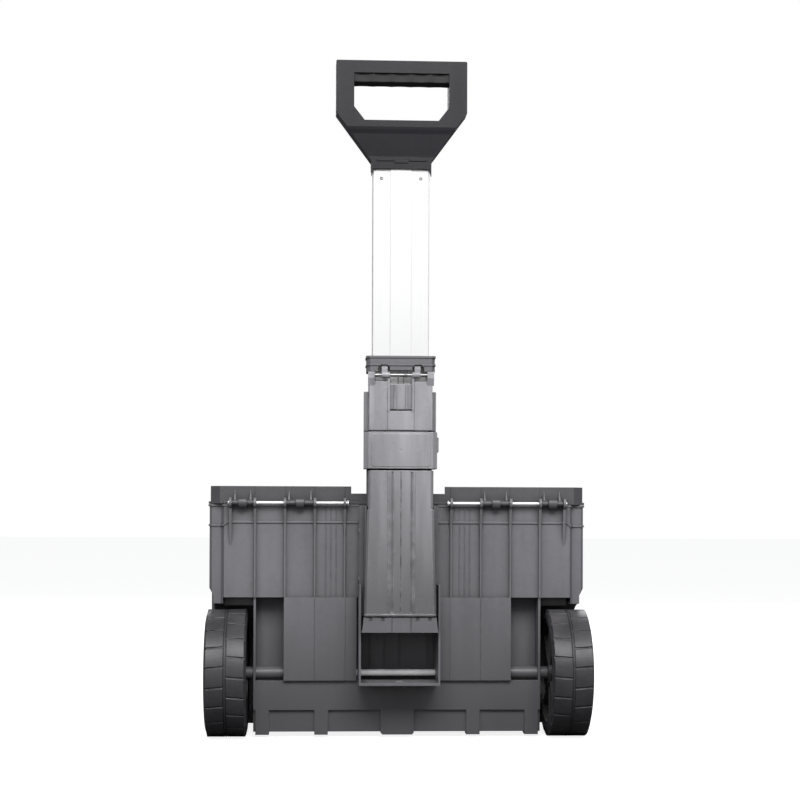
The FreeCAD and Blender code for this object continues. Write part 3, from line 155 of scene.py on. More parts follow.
floor_mesh = bpy.data.meshes.new("studio_floor")
reach = 30.0
floor_mesh.from_pydata([(-reach, -reach, 0), (reach, -reach, 0), (reach, reach, 0), (-reach, reach, 0)],
                       [], [(0, 1, 2, 3)])
floor = bpy.data.objects.new("studio_floor", floor_mesh)
bpy.context.collection.objects.link(floor)
paper = bpy.data.materials.new("studio_paper")
tree = new_tree(paper)
paper_out = tree.nodes.new("ShaderNodeOutputMaterial")
seen = tree.nodes.new("ShaderNodeBsdfDiffuse")
bounce = tree.nodes.new("ShaderNodeBsdfDiffuse")
glow = tree.nodes.new("ShaderNodeEmission")
lift = tree.nodes.new("ShaderNodeAddShader")
path = tree.nodes.new("ShaderNodeLightPath")
choose = tree.nodes.new("ShaderNodeMixShader")
seen.inputs["Color"].default_value = (0.45, 0.45, 0.45, 1.0)
bounce.inputs["Color"].default_value = (0.07, 0.07, 0.07, 1.0)
glow.inputs["Strength"].default_value = 0.86
tree.links.new(seen.outputs[0], lift.inputs[0])
tree.links.new(glow.outputs[0], lift.inputs[1])
tree.links.new(path.outputs["Is Camera Ray"], choose.inputs["Fac"])
tree.links.new(bounce.outputs[0], choose.inputs[1])
tree.links.new(lift.outputs[0], choose.inputs[2])
tree.links.new(choose.outputs[0], paper_out.inputs["Surface"])
floor_mesh.materials.append(paper)

area_light("overhead", (0.1, -2.3, 2.2), (0.0, -0.1, 0.45), (2.2, 1.4), 104.0)
area_light("left_fill", (-2.6, -2.4, 1.5), (0.0, -0.1, 0.5), (1.6, 2.2), 26.0)
area_light("right_strip", (2.4, -2.0, 1.6), (0.0, -0.1, 0.6), (0.6, 2.4), 20.0)
area_light("low_front", (-0.3, -3.2, 0.45), (0.0, -0.1, 0.35), (1.6, 0.7), 6.0)
area_light("far_side", (0.6, 2.8, 2.4), (0.0, 0.1, 0.3), (2.6, 2.0), 70.0)

# %% [markdown]
# ## Shared effects
# Five small node groups are used by most materials. Each is made once, with named inputs, and puts out only
# a mask, a value or a normal. *Rounded edge* softens every hard edge and finds the edges painted pale, partly
# as rubbed edges and partly as a painted highlight. *Moulded grain* is the fine spark-eroded texture of a
# tool box. *Flow marks* are long soft lines of plastic that ran down a mould, glossier and painted lighter as
# a sheen.
# *Settled dust* finds upward faces, broken up by noise. *Crevice shade* paints shade into the corners beside
# ribs and under ledges.

# %% Tools for building groups
def new_group(name, inputs, outputs):
    group = bpy.data.node_groups.new(name, "ShaderNodeTree")
    for label, default in inputs:
        socket = group.interface.new_socket(label, in_out="INPUT", socket_type="NodeSocketFloat")
        socket.default_value = default
    for label, kind in outputs:
        group.interface.new_socket(label, in_out="OUTPUT", socket_type=kind)
    return group, group.nodes.new("NodeGroupInput"), group.nodes.new("NodeGroupOutput")


def math_node(tree, operation, first, second=None, clamp=False):
    node = tree.nodes.new("ShaderNodeMath")
    node.operation = operation
    node.use_clamp = clamp
    for index, value in enumerate((first, second)):
        if value is None:
            continue
        if isinstance(value, (int, float)):
            node.inputs[index].default_value = value
        else:
            tree.links.new(value, node.inputs[index])
    return node.outputs[0]


def remap(tree, value, from_low, from_high, to_low=0.0, to_high=1.0):
    node = tree.nodes.new("ShaderNodeMapRange")
    node.inputs["From Min"].default_value = from_low
    node.inputs["From Max"].default_value = from_high
    node.inputs["To Min"].default_value = to_low
    node.inputs["To Max"].default_value = to_high
    tree.links.new(value, node.inputs["Value"])
    return node.outputs["Result"]


def noise(tree, scale, detail=3.0, stretch=None, seed=0.0):
    place = tree.nodes.new("ShaderNodeTexCoord").outputs["Object"]
    mapping = tree.nodes.new("ShaderNodeMapping")
    mapping.inputs["Location"].default_value = (seed, seed * 0.7, seed * 1.3)
    if stretch:
        mapping.inputs["Scale"].default_value = stretch
    tree.links.new(place, mapping.inputs["Vector"])
    node = tree.nodes.new("ShaderNodeTexNoise")
    node.inputs["Detail"].default_value = detail
    if isinstance(scale, (int, float)):
        node.inputs["Scale"].default_value = scale
    else:
        tree.links.new(scale, node.inputs["Scale"])
    tree.links.new(mapping.outputs["Vector"], node.inputs["Vector"])
    return node.outputs["Fac"]


# %% Rounded edge
FLOAT = "NodeSocketFloat"
rounded_edge, given, result = new_group(
    "rounded_edge", [("Radius", 0.001), ("Wear", 1.0)], [("Normal", "NodeSocketVector"), ("Worn_Highlight", FLOAT)])
round_node = rounded_edge.nodes.new("ShaderNodeBevel")
round_node.samples = 6
rounded_edge.links.new(given.outputs["Radius"], round_node.inputs["Radius"])
flat = rounded_edge.nodes.new("ShaderNodeNewGeometry")
agree = rounded_edge.nodes.new("ShaderNodeVectorMath")
agree.operation = "DOT_PRODUCT"
rounded_edge.links.new(round_node.outputs[0], agree.inputs[0])
rounded_edge.links.new(flat.outputs["Normal"], agree.inputs[1])
# Edges found here are painted pale, partly as rubbed edges and partly as a painted highlight.
edge = remap(rounded_edge, agree.outputs["Value"], 0.995, 0.80)
patchy = remap(rounded_edge, noise(rounded_edge, 70.0, 4.0), 0.42, 0.66)
worn_highlight = math_node(rounded_edge, "MULTIPLY", edge, patchy)
worn_highlight = math_node(rounded_edge, "MULTIPLY", worn_highlight, given.outputs["Wear"], clamp=True)
rounded_edge.links.new(round_node.outputs[0], result.inputs["Normal"])
rounded_edge.links.new(worn_highlight, result.inputs["Worn_Highlight"])

# %% Moulded grain
moulded_grain, given, result = new_group(
    "moulded_grain", [("Scale", 900.0), ("Strength", 1.0)], [("Height", FLOAT), ("Mottle", FLOAT)])
fine = noise(moulded_grain, given.outputs["Scale"], 2.0)
coarse = noise(moulded_grain, 120.0, 3.0, seed=3.0)
height = math_node(moulded_grain, "MULTIPLY", fine, given.outputs["Strength"])
broad = math_node(moulded_grain, "MULTIPLY", noise(moulded_grain, 5.0, 3.0, seed=7.0), 0.7)
mottle = math_node(moulded_grain, "ADD", broad, math_node(moulded_grain, "MULTIPLY", coarse, 0.3))
moulded_grain.links.new(height, result.inputs["Height"])
moulded_grain.links.new(mottle, result.inputs["Mottle"])

# %% Flow marks and painted sheen
flow_marks_sheen, given, result = new_group(
    "flow_marks_sheen", [("Scale", 1.0)], [("Streak", FLOAT), ("Scuff", FLOAT)])
long_streak = noise(flow_marks_sheen, 7.0, 4.0, stretch=(6.0, 6.0, 0.7), seed=11.0)
# Painted sheen: these long soft lines lighten the colour as well as making it glossier.
streak = remap(flow_marks_sheen, long_streak, 0.36, 0.68)
scratch = noise(flow_marks_sheen, 26.0, 6.0, stretch=(14.0, 14.0, 0.5), seed=17.0)
scuff = remap(flow_marks_sheen, scratch, 0.66, 0.74)
flow_marks_sheen.links.new(streak, result.inputs["Streak"])
flow_marks_sheen.links.new(scuff, result.inputs["Scuff"])

# %% Settled dust
settled_dust, given, result = new_group("settled_dust", [("Amount", 0.3)], [("Dust", FLOAT)])
facing = settled_dust.nodes.new("ShaderNodeNewGeometry")
split = settled_dust.nodes.new("ShaderNodeSeparateXYZ")
settled_dust.links.new(facing.outputs["Normal"], split.inputs[0])
upward = remap(settled_dust, split.outputs["Z"], 0.2, 0.95)
cloud = remap(settled_dust, noise(settled_dust, 18.0, 5.0, seed=23.0), 0.35, 0.75)
dust = math_node(settled_dust, "MULTIPLY", upward, cloud)
dust = math_node(settled_dust, "MULTIPLY", dust, given.outputs["Amount"], clamp=True)
settled_dust.links.new(dust, result.inputs["Dust"])

# %% Crevice shade
crevice_shade, given, result = new_group("crevice_shade", [("Reach", 0.015), ("Depth", 0.5)],
                                         [("Shade", FLOAT)])
# Painted shade: occlusion darkens the colour in corners beside ribs and under ledges.
cavity = crevice_shade.nodes.new("ShaderNodeAmbientOcclusion")
cavity.samples = 6
crevice_shade.links.new(given.outputs["Reach"], cavity.inputs["Distance"])
enclosed = remap(crevice_shade, cavity.outputs["AO"], 0.95, 0.35)
shade = math_node(crevice_shade, "MULTIPLY", enclosed, given.outputs["Depth"], clamp=True)
crevice_shade.links.new(shade, result.inputs["Shade"])
print("node groups", [group.name for group in bpy.data.node_groups])


# %% [markdown]
# ## Materials
# Every material starts from the same three steps: a base colour that drifts a little over the surface, a
# roughness that drifts with it, and a bump that gives the grain. Numbers that are the same all over are set
# straight on the shader. The plastics differ only in tone, gloss and how coarse their grain is, so one
# function makes them all.

# %% Tools for materials
def place_group(tree, group, **values):
    node = tree.nodes.new("ShaderNodeGroup")
    node.node_tree = group
    for label, value in values.items():
        node.inputs[label].default_value = value
    return node


def mix_colour(tree, mask, first, second):
    node = tree.nodes.new("ShaderNodeMix")
    node.data_type = "RGBA"
    sockets = [s for s in node.inputs if s.type == "RGBA"]
    for socket, value in zip(sockets, (first, second)):
        if isinstance(value, tuple):
            socket.default_value = value
        else:
            tree.links.new(value, socket)
    tree.links.new(mask, node.inputs["Factor"])
    return [s for s in node.outputs if s.type == "RGBA"][0]


def grey(level):
    return (level, level, level, 1.0)


def shaded(colour, factor):
    return tuple(min(1.0, channel * factor) for channel in colour[:3]) + (1.0,)


def finish_material(tree, colour, roughness, height, normal, depth, shader_values):
    shader = tree.nodes.new("ShaderNodeBsdfPrincipled")
    output = tree.nodes.new("ShaderNodeOutputMaterial")
    bump = tree.nodes.new("ShaderNodeBump")
    bump.inputs["Distance"].default_value = depth
    tree.links.new(height, bump.inputs["Height"])
    tree.links.new(normal, bump.inputs["Normal"])
    tree.links.new(bump.outputs[0], shader.inputs["Normal"])
    tree.links.new(colour, shader.inputs["Base Color"])
    tree.links.new(roughness, shader.inputs["Roughness"])
    for label, value in shader_values.items():
        shader.inputs[label].default_value = value
    tree.links.new(shader.outputs[0], output.inputs["Surface"])


def moulded_plastic(name, base, rough=0.45, grain=900.0, grain_depth=0.00012, drift=0.16, streaks=0.0,
                    wear_highlight=0.5, dust=0.1, radius=0.0009, crevice=0.6, painted_low_shade=None):
    """A moulded plastic: grained, uneven in tone, with painted shade in its corners, and pale on its edges,
    partly rubbed and partly a painted highlight. Its last argument gives the two heights between which a
    painted shade towards the floor fades out, and how dark it is at its darkest."""
    material = bpy.data.materials.new(name)
    tree = new_tree(material)
    texture = place_group(tree, moulded_grain, Scale=grain, Strength=1.0)
    edges = place_group(tree, rounded_edge, Radius=radius, Wear=wear_highlight)
    marks = place_group(tree, flow_marks_sheen)
    settled = place_group(tree, settled_dust, Amount=dust)
    tone = mix_colour(tree, remap(tree, texture.outputs["Mottle"], 0.3, 0.7),
                      shaded(base, 1.0 - drift), shaded(base, 1.0 + drift))
    # Painted sheen: the long soft lines are painted lighter; the glossier roughness below is real.
    streak = math_node(tree, "MULTIPLY", marks.outputs["Streak"], streaks)
    tone = mix_colour(tree, streak, tone, shaded(base, 1.7))
    # Painted shade: corners beside ribs and under ledges are darkened in the colour.
    corners = place_group(tree, crevice_shade, Reach=0.014, Depth=crevice)
    tone = mix_colour(tree, corners.outputs["Shade"], tone, shaded(base, 0.12))
    # Painted shade: the colour darkens towards the floor, below the given heights.
    if painted_low_shade:
        split = tree.nodes.new("ShaderNodeSeparateXYZ")
        tree.links.new(tree.nodes.new("ShaderNodeTexCoord").outputs["Object"], split.inputs[0])
        low_part = remap(tree, split.outputs["Z"], painted_low_shade[1], painted_low_shade[0])
        tone = mix_colour(tree, low_part, tone, shaded(base, painted_low_shade[2]))
    # Pale edges: partly rubbed plastic, partly a painted highlight on the edges.
    tone = mix_colour(tree, edges.outputs["Worn_Highlight"], tone, shaded(base, 2.0))
    tone = mix_colour(tree, settled.outputs["Dust"], tone, (0.42, 0.40, 0.37, 1.0))
    drifted = remap(tree, texture.outputs["Mottle"], 0.3, 0.7, rough - 0.07, rough + 0.07)
    glossed = math_node(tree, "MULTIPLY", marks.outputs["Streak"], -0.35 * streaks)
    roughness = math_node(tree, "ADD", drifted, glossed, clamp=True)
    finish_material(tree, tone, roughness, texture.outputs["Height"], edges.outputs["Normal"],
                    grain_depth, {"Specular IOR Level": 0.45})
    return material


def metal(name, base, rough, stretch, radius=0.0006, depth=0.00004, streak_contrast=0.25, metallic=1.0):
    """A drawn or rolled metal: fine lines one way, which change its tone and roughness."""
    material = bpy.data.materials.new(name)
    tree = new_tree(material)
    lines = noise(tree, 60.0, 6.0, stretch=stretch, seed=5.0)
    clouds = noise(tree, 9.0, 4.0, seed=9.0)
    edges = place_group(tree, rounded_edge, Radius=radius, Wear=0.4)
    both = math_node(tree, "ADD", math_node(tree, "MULTIPLY", lines, 0.6),
                     math_node(tree, "MULTIPLY", clouds, 0.4))
    tone = mix_colour(tree, remap(tree, both, 0.3, 0.7), shaded(base, 1.0 - streak_contrast), base)
    roughness = remap(tree, both, 0.3, 0.7, rough + 0.08, rough - 0.06)
    finish_material(tree, tone, roughness, lines, edges.outputs["Normal"], depth, {"Metallic": metallic})
    return material


# %% Materials
body_plastic = moulded_plastic("body_plastic", (0.125, 0.1225, 0.133, 1.0), rough=0.48, streaks=0.22,
                               wear_highlight=0.45, painted_low_shade=(0.04, 0.26, 0.55))
lid_plastic = moulded_plastic("lid_plastic", (0.066, 0.064, 0.070, 1.0), rough=0.45, streaks=0.06, wear_highlight=0.4)
frame_plastic = moulded_plastic("frame_plastic", (0.110, 0.107, 0.117, 1.0), rough=0.44, streaks=0.15,
                                wear_highlight=0.35)
column_plastic = moulded_plastic("column_plastic", (0.205, 0.202, 0.215, 1.0), rough=0.38, grain=1400.0,
                                 grain_depth=0.00006, streaks=0.9, wear_highlight=1.0, painted_low_shade=(0.22, 0.52, 0.52),
                                 radius=0.0014)
handle_plastic = moulded_plastic("handle_plastic", (0.016, 0.0155, 0.0185, 1.0), rough=0.42, streaks=0.15,
                                 wear_highlight=0.5)
latch_plastic = moulded_plastic("latch_plastic", grey(0.045), rough=0.38, streaks=0.08, wear_highlight=0.6)
rim_plastic = moulded_plastic("rim_plastic", grey(0.040), rough=0.42, streaks=0.08, wear_highlight=0.5, dust=0.2)
bearing_plastic = moulded_plastic("bearing_plastic", grey(0.012), rough=0.38, grain=2000.0,
                                  grain_depth=0.00003, wear_highlight=0.1, dust=0.0)
rubber = moulded_plastic("grip_rubber", grey(0.018), rough=0.60, grain=700.0, grain_depth=0.00025,
                         drift=0.25, wear_highlight=0.55, radius=0.0016)
tyre_compound = moulded_plastic("tyre_compound", (0.036, 0.035, 0.039, 1.0), rough=0.42, grain=500.0,
                                grain_depth=0.00018, drift=0.35, streaks=0.20, wear_highlight=0.5, dust=0.12,
                                radius=0.0016, crevice=0.4)
bright_steel = metal("bright_steel", grey(0.90), 0.34, (0.3, 9.0, 9.0), metallic=0.35, streak_contrast=0.18)
# Painted reflection: a pale, non-metal grey that stands in for the light the axle's steel reflects in its
# shaded recess.
axle_painted_pale = metal("axle_painted_pale", grey(0.95), 0.42, (0.3, 9.0, 9.0), metallic=0.0, streak_contrast=0.15)
dull_steel = metal("dull_steel", grey(0.34), 0.36, (0.3, 9.0, 9.0), metallic=0.8)
screw_steel = metal("screw_steel", grey(0.30), 0.36, (5.0, 5.0, 5.0), metallic=0.8)
mast_aluminium = metal("mast_aluminium", grey(0.62), 0.45, (14.0, 14.0, 0.25), streak_contrast=0.06,
                       metallic=0.15)
for material, shine in ((handle_plastic, 0.15), (rubber, 0.25), (tyre_compound, 0.35)):
    for node in material.node_tree.nodes:
        if node.type == "BSDF_PRINCIPLED":
            node.inputs["Specular IOR Level"].default_value = shine
print("materials", [material.name for material in bpy.data.materials])

finish_of_slot = {
    "body_plastic": body_plastic, "lid_plastic": lid_plastic, "column_plastic": column_plastic,
    "bearing_plastic": bearing_plastic, "handle_plastic": handle_plastic, "grip_rubber": rubber,
    "seal_rubber": rubber, "latch_plastic": latch_plastic, "tyre_compound": tyre_compound,
    "rim_plastic": rim_plastic, "mast_aluminium": mast_aluminium, "bright_steel": bright_steel,
    "screw_steel": screw_steel,
}
slot_of_node = {entry["node"]: entry["material_slot"] for entry in frame["record"]["subparts"]}


def dress(piece, material):
    piece.data.materials.clear()
    piece.data.materials.append(material)


for name, node in nodes.items():
    dress(node, finish_of_slot[slot_of_node[name]])
for name in ("column_channel", "column_foot_cover", "mast_collar"):
    dress(nodes[name], frame_plastic)
# The axle gets the pale grey that stands in for its reflection.
dress(nodes["wheel_axle"], axle_painted_pale)
for name in ("lever_pivot_rod", "mast_lock_lugs", "mast_rivets"):
    dress(nodes[name], dull_steel)
print("dressed", len(nodes), "nodes in", len(finish_of_slot), "finishes")

# %% [markdown]
# ## Tyres
# The real tyre is one moulding: a barrel-shaped ring with two rows of low tread blocks, set half a block
# apart, and a raised parting line between the rows. The ring is turned from a half section, which is the
# quickest way to a clean round shape. The blocks repeat by a rule, so Geometry Nodes sets one small block
# round a circle, and the same tree makes every row from its named inputs.

# %% The tree that sets blocks round a wheel
def new_tree_of_geometry(name, inputs):
    tree = bpy.data.node_groups.new(name, "GeometryNodeTree")
    for label, kind in inputs:
        tree.interface.new_socket(label, in_out="INPUT", socket_type=kind)
    tree.interface.new_socket("Geometry", in_out="OUTPUT", socket_type="NodeSocketGeometry")
    return tree, tree.nodes.new("NodeGroupInput"), tree.nodes.new("NodeGroupOutput")


def vector_of(tree, x=0.0, y=0.0, z=0.0):
    node = tree.nodes.new("ShaderNodeCombineXYZ")
    for socket, value in zip(node.inputs, (x, y, z)):
        if isinstance(value, (int, float)):
            socket.default_value = value
        else:
            tree.links.new(value, socket)
    return node.outputs[0]


def moved(tree, geometry, translation=None, rotation=None):
    node = tree.nodes.new("GeometryNodeTransform")
    tree.links.new(geometry, node.inputs["Geometry"])
    if translation is not None:
        tree.links.new(translation, node.inputs["Translation"])
    if rotation is not None:
        tree.links.new(rotation, node.inputs["Rotation"])
    return node.outputs["Geometry"]


def finished_copies(tree, instances, material, output):
    real = tree.nodes.new("GeometryNodeRealizeInstances")
    tree.links.new(instances, real.inputs["Geometry"])
    painted = tree.nodes.new("GeometryNodeSetMaterial")
    tree.links.new(real.outputs["Geometry"], painted.inputs["Geometry"])
    tree.links.new(material, painted.inputs["Material"])
    tree.links.new(painted.outputs["Geometry"], output.inputs["Geometry"])


tread_rows, given, result = new_tree_of_geometry("tread_rows", [
    ("Geometry", "NodeSocketGeometry"), ("Block", "NodeSocketObject"), ("Count", "NodeSocketInt"),
    ("Radius", "NodeSocketFloat"), ("Phase", "NodeSocketFloat"), ("Centre", "NodeSocketVector"),
    ("Finish", "NodeSocketMaterial")])
circle = tread_rows.nodes.new("GeometryNodeMeshCircle")
tread_rows.links.new(given.outputs["Count"], circle.inputs["Vertices"])
tread_rows.links.new(given.outputs["Radius"], circle.inputs["Radius"])
upright = moved(tread_rows, circle.outputs["Mesh"], rotation=vector_of(tread_rows, y=math.pi / 2))
turned_row = moved(tread_rows, upright, rotation=vector_of(tread_rows, x=given.outputs["Phase"]))
align = tread_rows.nodes.new("FunctionNodeAlignRotationToVector")
align.axis = "Z"
align.pivot_axis = "X"
tread_rows.links.new(tread_rows.nodes.new("GeometryNodeInputPosition").outputs[0], align.inputs["Vector"])
block_info = tread_rows.nodes.new("GeometryNodeObjectInfo")
tread_rows.links.new(given.outputs["Block"], block_info.inputs["Object"])
copies = tread_rows.nodes.new("GeometryNodeInstanceOnPoints")
tread_rows.links.new(turned_row, copies.inputs["Points"])
tread_rows.links.new(block_info.outputs["Geometry"], copies.inputs["Instance"])
tread_rows.links.new(align.outputs[0], copies.inputs["Rotation"])
placed = moved(tread_rows, copies.outputs["Instances"], translation=given.outputs["Centre"])
finished_copies(tread_rows, placed, given.outputs["Finish"], result)
print("tree", tread_rows.name, "inputs", [item.name for item in tread_rows.interface.items_tree])


# %% Running a tree and keeping its mesh
def run_tree(tree, name, values, start_mesh=None):
    """Puts a tree on an object, gives its inputs, and returns the plain mesh that it makes."""
    holder = bpy.data.objects.new(name + "_holder", start_mesh or bpy.data.meshes.new(name + "_start"))
    bpy.context.collection.objects.link(holder)
    modifier = holder.modifiers.new("make", "NODES")
    modifier.node_group = tree
    for item in tree.interface.items_tree:
        if item.item_type == "SOCKET" and item.in_out == "INPUT" and item.name in values:
            modifier[item.identifier] = values[item.name]
    bpy.context.view_layer.update()
    evaluated = holder.evaluated_get(bpy.context.evaluated_depsgraph_get())
    mesh = bpy.data.meshes.new_from_object(evaluated)
    holder.modifiers.remove(modifier)
    bpy.data.objects.remove(holder)
    return mesh


def object_of(mesh, name):
    piece = bpy.data.objects.new(name, mesh)
    bpy.context.collection.objects.link(piece)
    return piece


def gathered(meshes, name, material):
    """Joins several meshes in one object of one finish."""
    whole = bmesh.new()
    for mesh in meshes:
        whole.from_mesh(mesh)
    joined_mesh = bpy.data.meshes.new(name)
    for face in whole.faces:
        face.material_index = 0
    whole.to_mesh(joined_mesh)
    whole.free()
    piece = object_of(joined_mesh, name)
    dress(piece, material)
    return piece


def tread_block(name, length, width, radius, height, taper, skew=0.0):
    """A low block with sloping flanks, long in X, bent round the tyre of the given radius in Y."""
    bends = 6
    points = []
    for n in range(bends + 1):
        share = 2 * n / bends - 1
        for level, narrowing in ((-height, 0.0), (0.0, taper)):
            angle = (width / 2 - narrowing) / radius * share
            for end in (-1, 1):
                x = end * (length / 2 - narrowing)
                reach = radius + level
                points.append((x, reach * math.sin(angle) + skew * x, reach * math.cos(angle) - radius))
    faces = [(0, 1, 3, 2)]
    for n in range(bends):
        near, far = 4 * n, 4 * n + 4
        faces += [(near + 2, near + 3, far + 3, far + 2), (near + 1, near, far, far + 1),
                  (near, near + 2, far + 2, far), (near + 3, near + 1, far + 1, far + 3)]
    last = 4 * bends
    faces.append((last + 1, last, last + 2, last + 3))
    mesh = bpy.data.meshes.new(name)
    mesh.from_pydata(points, [], faces)
    whole = bmesh.new()
    whole.from_mesh(mesh)
    bmesh.ops.recalc_face_normals(whole, faces=whole.faces)
    whole.to_mesh(mesh)
    whole.free()
    return object_of(mesh, name)


# %% The ring of the tyre
def turned_ring(section, centre, steps):
    """Turns a closed section of (x, radius) points about the axle."""
    ring = bmesh.new()
    loops = []
    for step in range(steps):
        angle = 2 * math.pi * step / steps
        loops.append([ring.verts.new((x, centre.y + r * math.sin(angle), centre.z + r * math.cos(angle)))
                      for x, r in section])
    for step in range(steps):
        first, second = loops[step], loops[(step + 1) % steps]
        for n in range(len(section)):
            m = (n + 1) % len(section)
            ring.faces.new((first[n], first[m], second[m], second[n]))
    bmesh.ops.recalc_face_normals(ring, faces=ring.faces)
    mesh = bpy.data.meshes.new("ring")
    ring.to_mesh(mesh)
    ring.free()
    return mesh


def tyre_section(inner_x, outer_x, inner_r, outer_r):
    """The tyre's half section, crowned so that it falls away more to its outer shoulder."""
    width = outer_x - inner_x
    tread = outer_r - 0.0022
    shape = [
        (0.030, inner_r), (0.970, inner_r), (1.000, inner_r + 0.004), (1.000, tread - 0.0120),
        (0.985, tread - 0.0070), (0.950, tread - 0.0036), (0.880, tread - 0.0012), (0.700, tread - 0.0002),
        (0.520, tread), (0.515, tread + 0.0012), (0.485, tread + 0.0012), (0.480, tread),
        (0.300, tread - 0.0001), (0.110, tread - 0.0008), (0.045, tread - 0.0026), (0.012, tread - 0.0058),
        (0.000, tread - 0.0100), (0.000, inner_r + 0.004),
    ]
    return [(inner_x + share * width, radius) for share, radius in shape]


tread_blocks = 20
ring_steps = 120
block_size = (0.0280, 0.0292)      # along the axle, and round the tyre
block_bend = 0.0990                # radius that a block is bent to
row_offset = 0.0158                # from the middle of the tyre to each row
block_sink = 0.0012                # top of a block below the tyre's full radius
notch_sink = 0.0015                # and the small blocks at the shoulders lower by this
outer_block = tread_block("outer_block", *block_size, block_bend, 0.0030, 0.0007, skew=0.08)
inner_block = tread_block("inner_block", *block_size, block_bend, 0.0030, 0.0007, skew=-0.08)
notch_block = tread_block("notch_block", 0.0060, 0.0120, 0.0980, 0.0040, 0.0008)
for side in ("left", "right"):
    corner_low, corner_high = (Vector(corner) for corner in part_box("tyre_" + side))
    centre = (corner_low + corner_high) / 2
    outer_radius = (corner_high.z - corner_low.z) / 2
    rim_low, rim_high = (Vector(corner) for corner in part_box("rim_" + side))
    inner_radius = (rim_high.z - rim_low.z) / 2
    towards_out = 1 if side == "right" else -1
    inner_x = corner_low.x if side == "right" else corner_high.x
    outer_x = corner_high.x if side == "right" else corner_low.x
    meshes = [turned_ring(tyre_section(inner_x, outer_x, inner_radius, outer_radius), centre, ring_steps)]
    rows = ((outer_block, row_offset, 0.0), (inner_block, -row_offset, 0.5),
            (notch_block, 0.0255, 0.5), (notch_block, -0.0280, 0.0))
    for block_object, away, phase in rows:
        sink = notch_sink if block_object is notch_block else 0.0
        meshes.append(run_tree(tread_rows, "tread", {
            "Block": block_object, "Count": tread_blocks, "Radius": outer_radius - block_sink - sink,
            "Phase": 2 * math.pi / tread_blocks * phase, "Finish": tyre_compound,
            "Centre": centre + Vector((towards_out * away, 0.0, 0.0))}))
    tyre = gathered(meshes, "tyre_tread_" + side, tyre_compound)
    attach(tyre, "wheel_" + side)
    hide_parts("tyre_" + side)
    print(tyre.name, len(tyre.data.polygons), "faces")
for block_object in (outer_block, inner_block, notch_block):
    bpy.data.objects.remove(block_object)

# %% [markdown]
# ## Screws and rivets
# The screws of the handle and the column have a round head with a cross recess. The rivets at the top of
# the mast are blind rivets, with a dome and a hollow middle. Each kind is one small mesh. Geometry Nodes
# sets it on the places where the CAD solids are, and turns every screw by its own amount from a fixed seed,
# because real screws never stop at the same angle.

# %% The tree that sets fasteners
set_fasteners, given, result = new_tree_of_geometry("set_fasteners", [
    ("Geometry", "NodeSocketGeometry"), ("Head", "NodeSocketObject"), ("Most Turn", "NodeSocketFloat"),
    ("Finish", "NodeSocketMaterial")])
random_turn = set_fasteners.nodes.new("FunctionNodeRandomValue")
random_turn.data_type = "FLOAT"
random_turn.inputs["Seed"].default_value = 4
set_fasteners.links.new(given.outputs["Most Turn"], random_turn.inputs[3])
head_info = set_fasteners.nodes.new("GeometryNodeObjectInfo")
set_fasteners.links.new(given.outputs["Head"], head_info.inputs["Object"])
heads = set_fasteners.nodes.new("GeometryNodeInstanceOnPoints")
set_fasteners.links.new(given.outputs["Geometry"], heads.inputs["Points"])
set_fasteners.links.new(head_info.outputs["Geometry"], heads.inputs["Instance"])
set_fasteners.links.new(vector_of(set_fasteners, y=random_turn.outputs[1]), heads.inputs["Rotation"])
finished_copies(set_fasteners, heads.outputs["Instances"], given.outputs["Finish"], result)


# %% Heads, and the places for them
def loose_parts(node):
    """The box of each separate solid of a CAD node, as (low, high) corners."""
    copy = bmesh.new()
    copy.from_mesh(node.data)
    bmesh.ops.remove_doubles(copy, verts=copy.verts, dist=1e-6)
    copy.verts.ensure_lookup_table()
    seen = set()
    boxes = []
    for start in copy.verts:
        if start.index in seen:
            continue
        group, waiting = [], [start]
        seen.add(start.index)
        while waiting:
            vert = waiting.pop()
            group.append(vert.co.copy())
            for link in vert.link_edges:
                other = link.other_vert(vert)
                if other.index not in seen:
                    seen.add(other.index)
                    waiting.append(other)
        boxes.append((Vector(min(co[n] for co in group) for n in range(3)),
                      Vector(max(co[n] for co in group) for n in range(3))))
    copy.free()
    return sorted(boxes, key=lambda box: (round(box[0].z, 4), box[0].x))


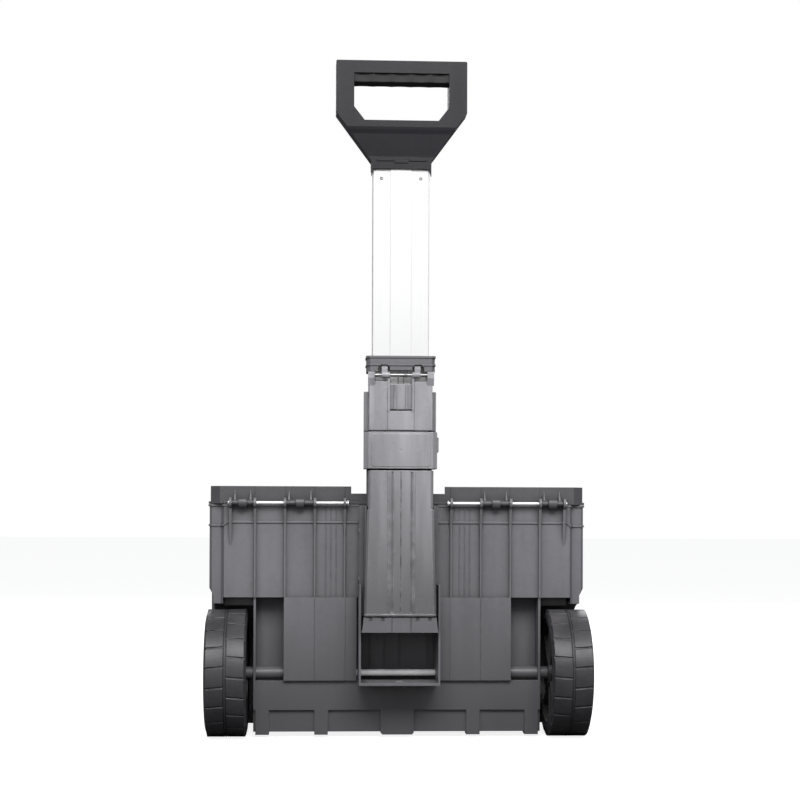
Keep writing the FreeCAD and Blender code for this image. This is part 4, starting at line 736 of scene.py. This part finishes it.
def turned_head(name, profile, sides, cross=0.0):
    """A head turned from (radius, depth) points about Y, its crown towards -Y, or towards +Y where the depths
    are negative. A cross recess is sunk by pulling in four arms of the crown."""
    head = bmesh.new()
    rings = []
    for radius, depth in profile:
        if radius == 0.0:
            rings.append([head.verts.new((0.0, depth, 0.0))])
            continue
        rings.append([head.verts.new((radius * math.cos(2 * math.pi * n / sides), depth,
                                      radius * math.sin(2 * math.pi * n / sides))) for n in range(sides)])
    for first, second in zip(rings[:-1], rings[1:]):
        for n in range(sides):
            m = (n + 1) % sides
            if len(second) == 1:
                head.faces.new((first[n], first[m], second[0]))
            elif len(first) == 1:
                head.faces.new((first[0], second[m], second[n]))
            else:
                head.faces.new((first[n], first[m], second[m], second[n]))
    if cross:
        for ring in rings[-3:-1]:
            for n, vert in enumerate(ring):
                if n % (sides // 4) == 0:
                    vert.co.y += cross
    bmesh.ops.recalc_face_normals(head, faces=head.faces)
    mesh = bpy.data.meshes.new(name)
    head.to_mesh(mesh)
    head.free()
    return object_of(mesh, name)


def fasteners(node_name, piece_name, body, head, material, most_turn, at_high_y):
    places = []
    for corner_low, corner_high in loose_parts(nodes[node_name]):
        middle = (corner_low + corner_high) / 2
        places.append((middle.x, corner_high.y if at_high_y else corner_low.y, middle.z))
    points = bpy.data.meshes.new(piece_name + "_places")
    points.from_pydata(places, [], [])
    mesh = run_tree(set_fasteners, piece_name, {"Head": head, "Most Turn": most_turn, "Finish": material},
                    points)
    piece = gathered([mesh], piece_name, material)
    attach(piece, body)
    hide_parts(node_name)
    print(piece.name, "at", len(places), "places")


MM = 0.001
head_sides = 24
pan_profile = [(0.0, 3.2 * MM), (1.8 * MM, 3.2 * MM), (1.8 * MM, 2.2 * MM), (3.6 * MM, 2.2 * MM),
               (3.6 * MM, 1.1 * MM), (3.1 * MM, 0.35 * MM), (2.2 * MM, 0.0), (1.3 * MM, 0.05 * MM),
               (0.35 * MM, 0.9 * MM), (0.0, 1.1 * MM)]
column_head = turned_head("column_head", pan_profile, head_sides, cross=0.7 * MM)
handle_profile = [(radius, -depth) for radius, depth in pan_profile]
handle_head = turned_head("handle_head", handle_profile, head_sides, cross=-0.7 * MM)
rivet_profile = [(0.0, 2.0 * MM), (1.8 * MM, 2.0 * MM), (1.8 * MM, 0.9 * MM), (3.0 * MM, 0.9 * MM),
                 (2.8 * MM, 0.45 * MM), (2.2 * MM, 0.1 * MM), (1.5 * MM, 0.0), (1.2 * MM, 0.1 * MM),
                 (1.1 * MM, 1.4 * MM), (0.0, 1.4 * MM)]
rivet_head = turned_head("rivet_head", rivet_profile, head_sides)
fasteners("column_screws", "column_screw_heads", "box", column_head, screw_steel, 1.5, False)
fasteners("handle_screws", "handle_screw_heads", "mast", handle_head, screw_steel, 1.5, True)
fasteners("mast_rivets", "mast_blind_rivets", "mast", rivet_head, dull_steel, 0.0, False)
for head in (column_head, handle_head, rivet_head):
    bpy.data.objects.remove(head)
